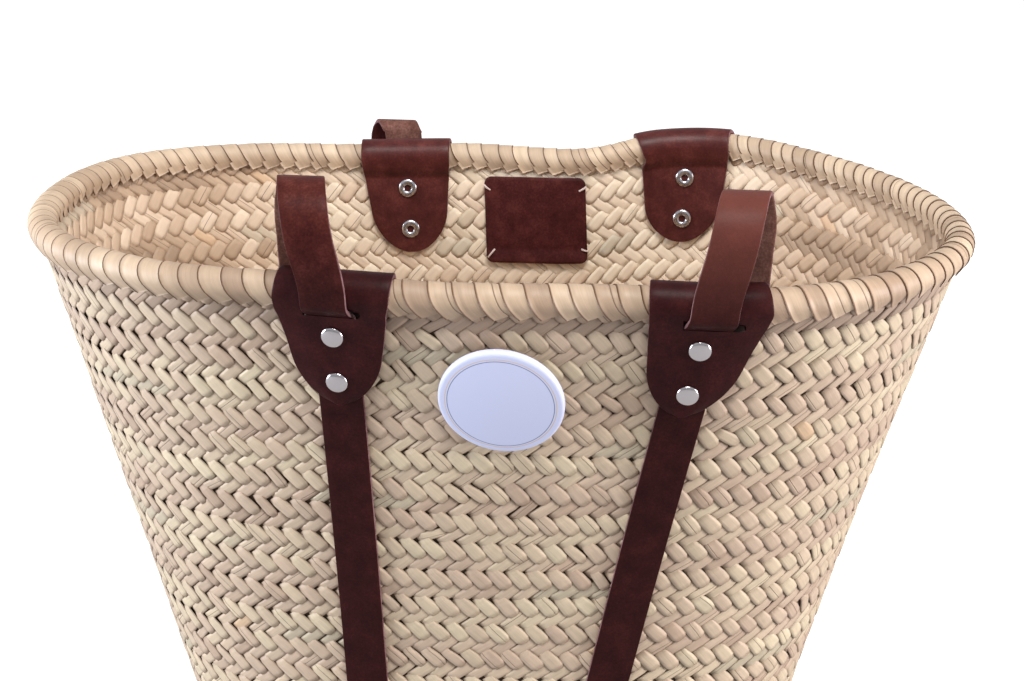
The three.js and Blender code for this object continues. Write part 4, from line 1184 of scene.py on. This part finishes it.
def tube_faces(rows, width):
    """The quads round a run of closed rings and a cap at each end."""
    ends = np.stack([np.arange(width)[::-1], (rows - 1) * width + np.arange(width)])
    return [grid_quads(rows, width, wrap_columns=True), ends]


def crisp(piece, angle):
    """Shades smoothly, but keeps the edges sharper than this many degrees."""
    piece.data.set_sharp_from_angle(angle=math.radians(angle))
    return piece


print("strap section:", len(band_section(7, STRAP_THICKNESS)[0]), "points")

# %% One smooth band through all rows
GIRTH_STEP, HANDLE_STEP = 3.0, 4.0
SLOT_GAP, SLOT_STEP = 5.5, 1.2
parts = []
root, top = np.arange(0, 90, 15), np.arange(90, 180, 15)
for hand, side in ((-1, 1), (1, -1)):
    end, step = 180 - arches[side]["hang"], 0.1 * arches[side]["radius"] + 0.3
    upper = top[top < end - 4]
    opening, closing = (f"{SIDE_WORD[side]}_{HAND_WORD[h]}_arch" for h in (hand, -hand))
    parts += [
        (f"{HAND_WORD[hand]}_girth", girth_run(hand)[::-hand][:-1], GIRTH_STEP),
        (f"{opening}_root", arch_run(side, hand, root), step),
        (f"{opening}_top", arch_run(side, hand, upper), step),
        (f"{SIDE_WORD[side]}_handle_loop", handle_run(side)[::-hand][:-1], HANDLE_STEP),
        (f"{closing}_top", arch_run(side, -hand, np.r_[end, upper[:0:-1]]), step),
        (f"{closing}_root", arch_run(side, -hand, np.r_[90, root[:0:-1]]), step)]
all_rows = np.vstack([rows for _, rows, _ in parts])
steps = np.concatenate([np.full(len(rows), step) for _, rows, step in parts])
gaps = np.linalg.norm(np.roll(all_rows[:, :3], -1, axis=0) - all_rows[:, :3], axis=1)
steps[(gaps < SLOT_GAP) & (steps == GIRTH_STEP)] = SLOT_STEP
line, across, first = smooth_loop(all_rows, steps)
run = unit(np.roll(line, -1, axis=0) - np.roll(line, 1, axis=0))
across = unit(across)
grain = unit(np.cross(across, run))
wide = np.minimum(1 / np.sqrt(1 - np.einsum("ij,ij->i", run, across) ** 2), 1.08)[:, None, None]
section, section_kinds = band_section(7, STRAP_THICKNESS)
reach = section[None, :, :1] * (STRAP_WIDTH / 2 - SOFT_EDGE) + section[None, :, 1:2]
band = line[:, None] + across[:, None] * reach * wide + grain[:, None] * section[None, :, 2:]
# Under the base the band lies on the floor, so nothing of it goes below.
band[..., 2] = np.maximum(band[..., 2], 0.0)
print("band:", len(line), "stations,", len(all_rows), "rows")

# %% The band cut into slices
starts = np.cumsum([0] + [len(rows) for _, rows, _ in parts])
straps = {}
for (name, _, _), begin, stop in zip(parts, starts[:-1], starts[1:]):
    rings = band[np.arange(first[begin], first[stop] + 1) % len(line)]
    kinds = np.r_[np.tile(section_kinds, len(rings) - 1), EDGE_CAPS]
    straps[name] = crisp(make_piece(name, rings, tube_faces(*rings.shape[:2]), STRAP_LEATHER,
                                    body=None, kinds=kinds), 50)
    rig.slot(straps[name], "leather")


def blend_points(side, hand, angles):
    """Places on an arch's middle line, in metres in the frame."""
    return [tuple((p + BASKET_MIDDLE) * MM) for p in arch_run(side, hand, angles)[:, :3]]


for word in HAND_WORD.values():
    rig.ride(straps[f"{word}_girth"], "basket")
    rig.replaces(straps[f"{word}_girth"], f"{word}_girth_strap")
for side, word in SIDE_WORD.items():
    end = 180 - arches[side]["hang"]
    for hand, way in HAND_WORD.items():
        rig.blend(straps[f"{word}_{way}_arch_root"], "basket", f"{word}_{way}_crown",
                 *blend_points(side, hand, [0, 90]))
        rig.replaces(straps[f"{word}_{way}_arch_root"], f"{word}_{way}_crown")
        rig.blend(straps[f"{word}_{way}_arch_top"], f"{word}_left_crown", f"{word}_grip",
                 *blend_points(side, hand, [90, end]))
    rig.ride(straps[f"{word}_handle_loop"], f"{word}_grip")
    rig.replaces(straps[f"{word}_handle_loop"], f"{word}_grip")
print("straps:", list(straps))

# %% [markdown]
# ## Tabs over the rim
# Each tab is one piece of hide folded over the rim, its grain outside. Its section's middle line is
# smoothed, its flaps narrow to round tips, and the outer flap droops a little beside the strap
# that it covers. The slot and the round hole at its end are cut afterwards.

# %% The tab's section and outline
TAB_THICKNESS = 2.3
TAB_TIP = 22.5
TAB_WIDTH = 51
TAB_LOW_WIDTH = (43.5, 40)
TAB_LENGTH = (54, 53)
TAB_FOLD = 7.5
TAB_LINE = [(-TAB_LENGTH[0], -3.2), (-10.9, -3.2), (-9, -4.23), (-6.4, -6.1)]
TAB_LINE += [(TAB_FOLD * math.sin(a), TAB_FOLD * math.cos(a))
             for a in np.radians(np.arange(180, -1, -15))]
TAB_LINE += [(-5, 7.1), (-10, 6.5), (-15, 6.6), (-22, 6.4), (-TAB_LENGTH[1], 6.4)]


def tab_stations():
    """The tab's inner face as [depth, offset], smoothed over 3 mm, in steps that are fine at the
    tips, where the depth grows as 1 - cos from the end, and over the rim."""
    line = np.array(TAB_LINE)
    length = run_lengths(line)
    at = np.arange(0, length[-1] + 0.2, 0.25)
    dense = np.pad(points_at(line, length, at), ((6, 6), (0, 0)), "edge")
    kernel = np.hanning(13) / np.hanning(13).sum()
    soft = np.column_stack([np.convolve(column, kernel, "valid") for column in dense.T])
    tip = TAB_TIP * (1 - np.cos(np.radians(np.linspace(0, 90, 13))))
    between = np.linspace(TAB_TIP, length[-1] - TAB_TIP, 60)[1:-1]
    return points_at(soft, at, np.r_[tip, between, length[-1] - tip[::-1]])


def tab_half_width(depth, offset):
    """From half the width at the rim evenly to the low width, and an ellipse at the tip. The first
    width and length of each pair are the inner flap's."""
    low, length = (np.where(offset < 0, *pair) for pair in (TAB_LOW_WIDTH, TAB_LENGTH))
    share = np.maximum(-depth / (length - TAB_TIP), 0)
    t = np.clip((depth + length) / TAB_TIP, 0, 1)
    half = (TAB_WIDTH + (low - TAB_WIDTH) * share) / 2
    return np.maximum(half * np.sqrt(1 - (1 - t) ** 2), 2.5)


print("tab:", len(tab_stations()), "stations")

# %% Cutting the slots
SLOT_CUT = np.array([[-11.5, 5.2], [-4.2, 12.5], [0.3, 12.5], [-7.0, 5.2]])
SLOT_ENDS = (-10.9, 11.8)
HOLE_X, HOLE_RADIUS = 12.4, 2.0
HOLE_RUN = np.array([[-9.6, 5.2], [-2.3, 12.5]])


def slot_cutters(side, hand):
    """A slanting bar for the slot, and a rod for the hole that it ends in at its right."""
    middle = strap_x(side, hand, -5) + hand * 1.08
    x = middle + np.linspace(*SLOT_ENDS, 9)
    bar = at_rim(side, x[:, None], SLOT_CUT[None, :, 0], SLOT_CUT[None, :, 1])
    turn = np.arange(20) * 2 * np.pi / 20
    rod = at_rim(side, middle + HOLE_X + HOLE_RADIUS * np.cos(turn)[None, :],
                 HOLE_RUN[:, :1] + HOLE_RADIUS * np.sin(turn)[None, :], HOLE_RUN[:, 1:])
    for label, rings in (("bar", bar), ("rod", rod)):
        groups = tube_faces(*rings.shape[:2])
        yield make_piece(f"slot_{label}", rings, groups, LEATHER, body=None,
                         kinds=np.zeros(sum(len(g) for g in groups), int))


def cut_out(piece, cutter):
    """Takes one body out of another for good, and removes it."""
    modifier = piece.modifiers.new("Cut", "BOOLEAN")
    modifier.operation, modifier.solver, modifier.object = "DIFFERENCE", "EXACT", cutter
    with bpy.context.temp_override(object=piece, active_object=piece, selected_objects=[piece]):
        bpy.ops.object.modifier_apply(modifier=modifier.name)
    bpy.data.objects.remove(cutter)


def build_tab(side, hand):
    """The section carried along the folded line, square to it, with its slot cut out."""
    word = f"{SIDE_WORD[side]}_{HAND_WORD[hand]}"
    stations = tab_stations()
    run = unit(np.gradient(stations, axis=0))
    section, kinds = band_section(15, TAB_THICKNESS)
    through = section[None, :, 2] + TAB_THICKNESS / 2
    depth = stations[:, :1] + run[:, 1:] * through
    offset = stations[:, 1:] - run[:, :1] * through
    half = tab_half_width(stations[:, 0], stations[:, 1])[:, None]
    flap = smooth(0.45, 1.05, np.abs(section[None, :, 0])) * smooth(7, 22, -stations[:, :1])
    offset = offset - np.where(stations[:, 1:] > 0, 1.4 * flap, 0)
    x = strap_x(side, hand, stations[:, :1]) + section[None, :, 0] * (half - SOFT_EDGE) \
        + section[None, :, 1]
    points = at_rim(side, x, depth, offset)
    # The back tabs take the lighter copy of the hide, painted light.
    piece = make_piece(f"{word}_tab_leather", points, tube_faces(*points.shape[:2]),
                       LEATHER if side < 0 else PAINTED_LIT_LEATHER,
                       kinds=np.r_[np.tile(kinds, len(stations) - 1), EDGE_CAPS])
    for cutter in slot_cutters(side, hand):
        cut_out(piece, cutter)
    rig.slot(piece, "leather")
    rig.replaces(piece, f"{word}_tab")
    return crisp(piece, 40)


for side, hand in CROSSING:
    print(build_tab(side, hand).name, "made")

# %% [markdown]
# ## Rivets, label and badge
# These are turned or laid out from their own sections, on the wall's own axes.

# %% Turned metal
def lathe(centre, axis, profile, sides, joined=False):
    """Points and faces of a body turned about an axis, and each point's radius. The profile lists
    [radius, distance out]. It starts and ends on the axis, or runs back into itself when joined."""
    across = unit(np.cross((0, 0, 1), axis))
    angle = np.arange(sides) * 2 * np.pi / sides
    ring = np.cos(angle)[:, None] * across + np.sin(angle)[:, None] * np.cross(axis, across)
    profile = np.asarray(profile, float)
    body = profile if joined else profile[1:-1]
    points = (centre + body[:, None, :1] * ring[None] + body[:, None, 1:] * axis).reshape(-1, 3)
    groups = [grid_quads(len(body), sides, wrap_rows=joined, wrap_columns=True)]
    radius = np.repeat(body[:, 0], sides)
    if not joined:
        here, last = np.arange(sides), (len(body) - 1) * sides
        after, pole = np.roll(here, -1), np.full(sides, len(points))
        groups.append(np.concatenate([np.column_stack([after, here, pole]),
                                      np.column_stack([last + here, last + after, pole + 1])]))
        points = np.vstack([points, centre + profile[[0, -1], 1:] * axis])
        radius = np.r_[radius, 0, 0]
    return points, groups, radius


CAP = [(0, -5.2), (1.5, -5.2), (1.5, 8.75), (4.6, 8.75), (4.95, 8.95), (5.1, 9.35), (5.02, 9.75),
       (4.78, 10.08), (4.4, 10.3), (3.7, 10.52), (2.8, 10.72), (1.9, 10.85), (1.0, 10.93),
       (0, 10.96)]
ring_turn = np.radians(np.arange(0, 360, 20))
RING = np.column_stack([3.45 + 1.65 * np.cos(ring_turn), -6.35 - 0.9 * np.sin(ring_turn)])
RIVET_DEPTHS = {"upper": -17.5, "lower": -40.5}


def build_rivets(side, hand):
    """Both rivets of a tab, each a domed cap with its post, and the ring inside that takes it."""
    word = f"{SIDE_WORD[side]}_{HAND_WORD[hand]}"
    for level, depth in RIVET_DEPTHS.items():
        x = strap_x(side, hand, depth)
        centre, axis = at_rim(side, x, depth, 0), out_at(side, x, depth)
        for kind, profile, metal in (("rivet", CAP, chrome), ("rivet_ring", RING, nickel)):
            points, groups, _ = lathe(centre, axis, profile, 48, joined=metal is nickel)
            piece = crisp(make_piece(f"{word}_{level}_{kind}_metal", points, groups, [metal]), 50)
            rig.slot(piece, "rivet_metal")
            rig.replaces(piece, f"{word}_{level}_{kind}")


for side, hand in CROSSING:
    build_rivets(side, hand)
print("rivets made")

# %% Label
LABEL_MIDDLE = (15.5, 255.8)
LABEL_HALF = (28.25, 24.25)
LABEL_TURN = math.radians(3)
LABEL_CORNER = 4.0
LABEL_CREASE = -16.25
LABEL_FACE, LABEL_SEAT = -5.2, -3.2


def label_place(x, z, offset):
    """A place on the label, whose own axes are turned 3 degrees, at an offset from the wall."""
    cos, sin = math.cos(LABEL_TURN), math.sin(LABEL_TURN)
    wall_x, wall_z = LABEL_MIDDLE[0] + x * cos - z * sin, LABEL_MIDDLE[1] + x * sin + z * cos
    u = round_at(1, wall_x, wall_z)
    point, _, out, _ = wall_frame(u, height_share(u, wall_z))
    return point + out * np.asarray(offset)[..., None]


def label_tilt(z):
    """The strip below the crease stands out evenly, 1.2 mm at the label's lower edge."""
    return -1.2 * np.clip((LABEL_CREASE - z) / 8, 0, 1)


def build_label():
    """Two grids over a rectangle with round corners: the face, rounded at its border and pressed in
    along the crease, and the flat seat behind it."""
    end = np.array([0, 0.1, 0.35, 0.8, 1.6, 2.7, 4.0])
    x = np.r_[end - LABEL_HALF[0], np.linspace(-21, 21, 13), (LABEL_HALF[0] - end)[::-1]][:, None]
    share = np.r_[-1, -0.99, -0.965, -0.93, np.linspace(-0.88, 0.88, 27), 0.93, 0.965, 0.99, 1]
    t = np.clip((LABEL_HALF[0] - np.abs(x)) / LABEL_CORNER, 0, 1)
    half = LABEL_HALF[1] - LABEL_CORNER * (1 - np.sqrt(1 - (1 - t) ** 2))
    z = share[None, :] * half
    border = np.minimum(LABEL_HALF[0] - np.abs(x), half - np.abs(z))
    crease = 0.35 * np.exp(-((z - LABEL_CREASE) / 0.7) ** 2)
    face = LABEL_FACE + 0.6 * (1 - smooth(0, 1.1, border)) + crease + label_tilt(z)
    x = np.broadcast_to(x, z.shape)
    points = np.stack([label_place(x, z, face), label_place(x, z, LABEL_SEAT + label_tilt(z))])
    groups = slab_faces(*z.shape)
    kinds = np.repeat([0, 2, 1], [len(g) for g in groups])
    piece = crisp(make_piece("label_leather", points, groups, LABEL_LEATHER, kinds=kinds), 40)
    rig.slot(piece, "label_leather")
    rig.replaces(piece, "leather_label")


build_label()
print("label made")

# %% Threads at the label's corners
THREADS = {"top_left": [(-28.2, 19.4), (-25.0, 16.9)], "top_right": [(28.3, 19.1), (25.0, 17.1)],
           "bottom_left": [(-27.1, -21.2), (-23.5, -16.9)],
           "bottom_right": [(28.6, -17.3), (25.4, -16.2)]}
THREAD_RUN = np.array([(0, -2.6), (0, -4.4), (0.03, -5.2), (0.12, -5.7), (0.3, -5.95), (0.5, -6.0),
                       (0.7, -5.95), (0.88, -5.7), (0.97, -5.2), (1, -4.4), (1, -2.6)])
THREAD_RADIUS = 0.55


def build_thread(name, ends):
    """A round thread that dives into the label at both ends."""
    ends = np.array(ends)
    flat = ends[0] + (ends[1] - ends[0]) * THREAD_RUN[:, :1]
    line = label_place(flat[:, 0], flat[:, 1], THREAD_RUN[:, 1] + label_tilt(flat[:, 1]))
    run = unit(np.gradient(line, axis=0))
    plane = unit(np.cross(line[-1] - line[0], line[5] - line[0]))
    level = unit(np.cross(run, plane))
    turn = np.arange(12)[None, :, None] * 2 * np.pi / 12
    rings = line[:, None] + THREAD_RADIUS * (plane * np.cos(turn) + level[:, None] * np.sin(turn))
    piece = crisp(make_piece(f"thread_{name}", rings, tube_faces(*rings.shape[:2]), [thread]), 60)
    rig.slot(piece, "thread")
    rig.replaces(piece, f"label_thread_{name}")


for name, ends in THREADS.items():
    build_thread(name, ends)
print("threads:", list(THREADS))

# %% Badge
BADGE_CENTRE = np.array([9.48, -136.37, 246.37])
BADGE_AXIS = unit(np.array([-0.0815, -0.9496, -0.3027]))
BADGE_RADIUS = 28.2
BADGE_LIP = [(BADGE_RADIUS, 0.5), (28.05, 0.2), (27.75, 0), (26, 0), (26, 0.6), (27.5, 0.6),
             (27.6, 1.7)]
SHOULDER, SHOULDER_FOOT = 0.93, 2.0
SHEET = 0.6


def build_badge():
    """A pressed shell: a shallow dome of height 1.6 (1 - r^2 / R^2), a rolled shoulder, and a lip
    that turns in behind."""

    def dome(share):
        """The dome's [radius, height] at these shares of the badge's radius."""
        return np.column_stack([BADGE_RADIUS * share, 3.4 + 1.6 * (1 - share ** 2)])

    front = dome(np.r_[np.linspace(0, 0.8, 9), np.linspace(0.82, SHOULDER, 12)])
    turn = np.radians(np.arange(10, 91, 10))
    shoulder = np.column_stack([
        BADGE_RADIUS * (SHOULDER + (1 - SHOULDER) * np.sin(turn)),
        SHOULDER_FOOT + (front[-1, 1] - SHOULDER_FOOT) * np.cos(turn)])
    behind = dome(np.linspace(0.96, 0, 8)) - (0, SHEET)
    points, groups, radius = lathe(BADGE_CENTRE, BADGE_AXIS,
                                   np.vstack([front, shoulder, BADGE_LIP, behind]), 128)
    piece = crisp(make_piece("badge_front", points, groups, [badge_film],
                             marks={"radius_share": radius / BADGE_RADIUS}), 50)
    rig.slot(piece, "badge_film")
    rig.replaces(piece, "badge_shell")


build_badge()
for node, material in (("badge_back", tinplate), ("badge_pin", tinplate),
                       ("rim_core", leaf_bundle)):
    nodes[node].data.materials.clear()
    nodes[node].data.materials.append(material)
print("badge made")

# %% [markdown]
# ## Camera
# The camera stands where the photograph was taken from, as fitted to the basket's mouth, base and
# walls: its place is in millimetres, and it is turned to the left, down, and a degree on its side.

# %% Camera
CAMERA_PLACE = np.array([44.9, -868.9, 545.8])
CAMERA_TURN = (2.45, 20.34, 1.0)
LENS, SENSOR = 63.28, 36
scene = bpy.context.scene
camera = bpy.data.objects.new("camera", bpy.data.cameras.new("camera"))
camera.data.lens, camera.data.sensor_width = LENS, SENSOR
scene.collection.objects.link(camera)
yaw, pitch, roll = np.radians(CAMERA_TURN)
level = np.array([math.cos(yaw), math.sin(yaw), 0])
ahead = math.cos(pitch) * np.cross((0, 0, 1), level) - (0, 0, math.sin(pitch))
upright = np.cross(level, ahead)
right = math.cos(roll) * level + math.sin(roll) * upright
above = -math.sin(roll) * level + math.cos(roll) * upright
matrix = np.eye(4)
matrix[:3] = np.column_stack([right, above, -ahead, (CAMERA_PLACE + BASKET_MIDDLE) * MM])
camera.matrix_world = Matrix(matrix.tolist())
scene.camera = camera
print("camera:", camera.matrix_world.translation)

# %% [markdown]
# ## Light and floor
# The photograph shows the basket cut out on white, in soft light from all sides. So the room gives
# an even light, a lamp above the front brings out the leaves, a cooler one at the left and a
# warmer one at the right round the ends, and the floor is bright only for the camera.

# %% Light
ROOM_LIGHT, ROOM_SEEN, FLOOR_GLOW = 0.46, 1.1, 0.9
world = bpy.data.worlds.new("studio")
world.use_nodes = True
backdrop = world.node_tree.nodes["Background"]
backdrop.inputs[0].default_value = (0.93, 0.95, 1.0, 1)
seen = add_node(world.node_tree, "ShaderNodeLightPath").outputs["Is Camera Ray"]
world.node_tree.links.new(spread(world.node_tree, seen, 0.0, 1.0, ROOM_LIGHT, ROOM_SEEN),
                          backdrop.inputs[1])
scene.world = world
scene.view_settings.view_transform = "Standard"


def add_light(name, place, target_height, size, power, colour):
    """A round lamp at a place, turned to a point of this height over the middle of the floor."""
    lamp = bpy.data.objects.new(name, bpy.data.lights.new(name, "AREA"))
    light = lamp.data
    light.shape, light.size, light.energy, light.color = "DISK", size, power, colour
    scene.collection.objects.link(lamp)
    lamp.location = place
    way = Vector((0, 0, target_height)) - Vector(place)
    lamp.rotation_euler = way.to_track_quat("-Z", "Y").to_euler()


add_light("key", (0.15, -0.75, 1.8), 0.25, 0.8, 24, (1.0, 0.98, 0.95))
add_light("left", (-1.5, -0.35, 0.4), 0.2, 0.9, 29, (0.87, 0.92, 1.0))
add_light("right", (1.5, -0.4, 0.4), 0.2, 0.9, 24, (1.0, 0.96, 0.97))
print("lamps:", [light.name for light in bpy.data.lights])

# %% Floor
FLOOR_HALF, FLOOR_DROP = 6, 0.0002
floor_mesh = bpy.data.meshes.new("floor")
floor_mesh.from_pydata([(FLOOR_HALF * x, FLOOR_HALF * y, -FLOOR_DROP)
                        for x, y in ((-1, -1), (1, -1), (1, 1), (-1, 1))], [], [(0, 1, 2, 3)])
floor = bpy.data.objects.new("floor", floor_mesh)
scene.collection.objects.link(floor)
floor_paint, tree, shader = new_material("floor_paint", (0.38, 0.38, 0.38, 1), Roughness=0.9,
                                         Emission_Color=(1, 1, 1, 1))
seen = add_node(tree, "ShaderNodeLightPath").outputs["Is Camera Ray"]
feed(tree, shader.inputs, {"Emission Strength": math_node(tree, "MULTIPLY", seen, FLOOR_GLOW)})
floor_mesh.materials.append(floor_paint)
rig.stage(floor)
print("floor:", floor.name)

# %% Sizes and finish
json.dump({"cad": cad_box, "visual": [list(corner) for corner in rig.bounds()]},
          open("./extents.json", "w"))
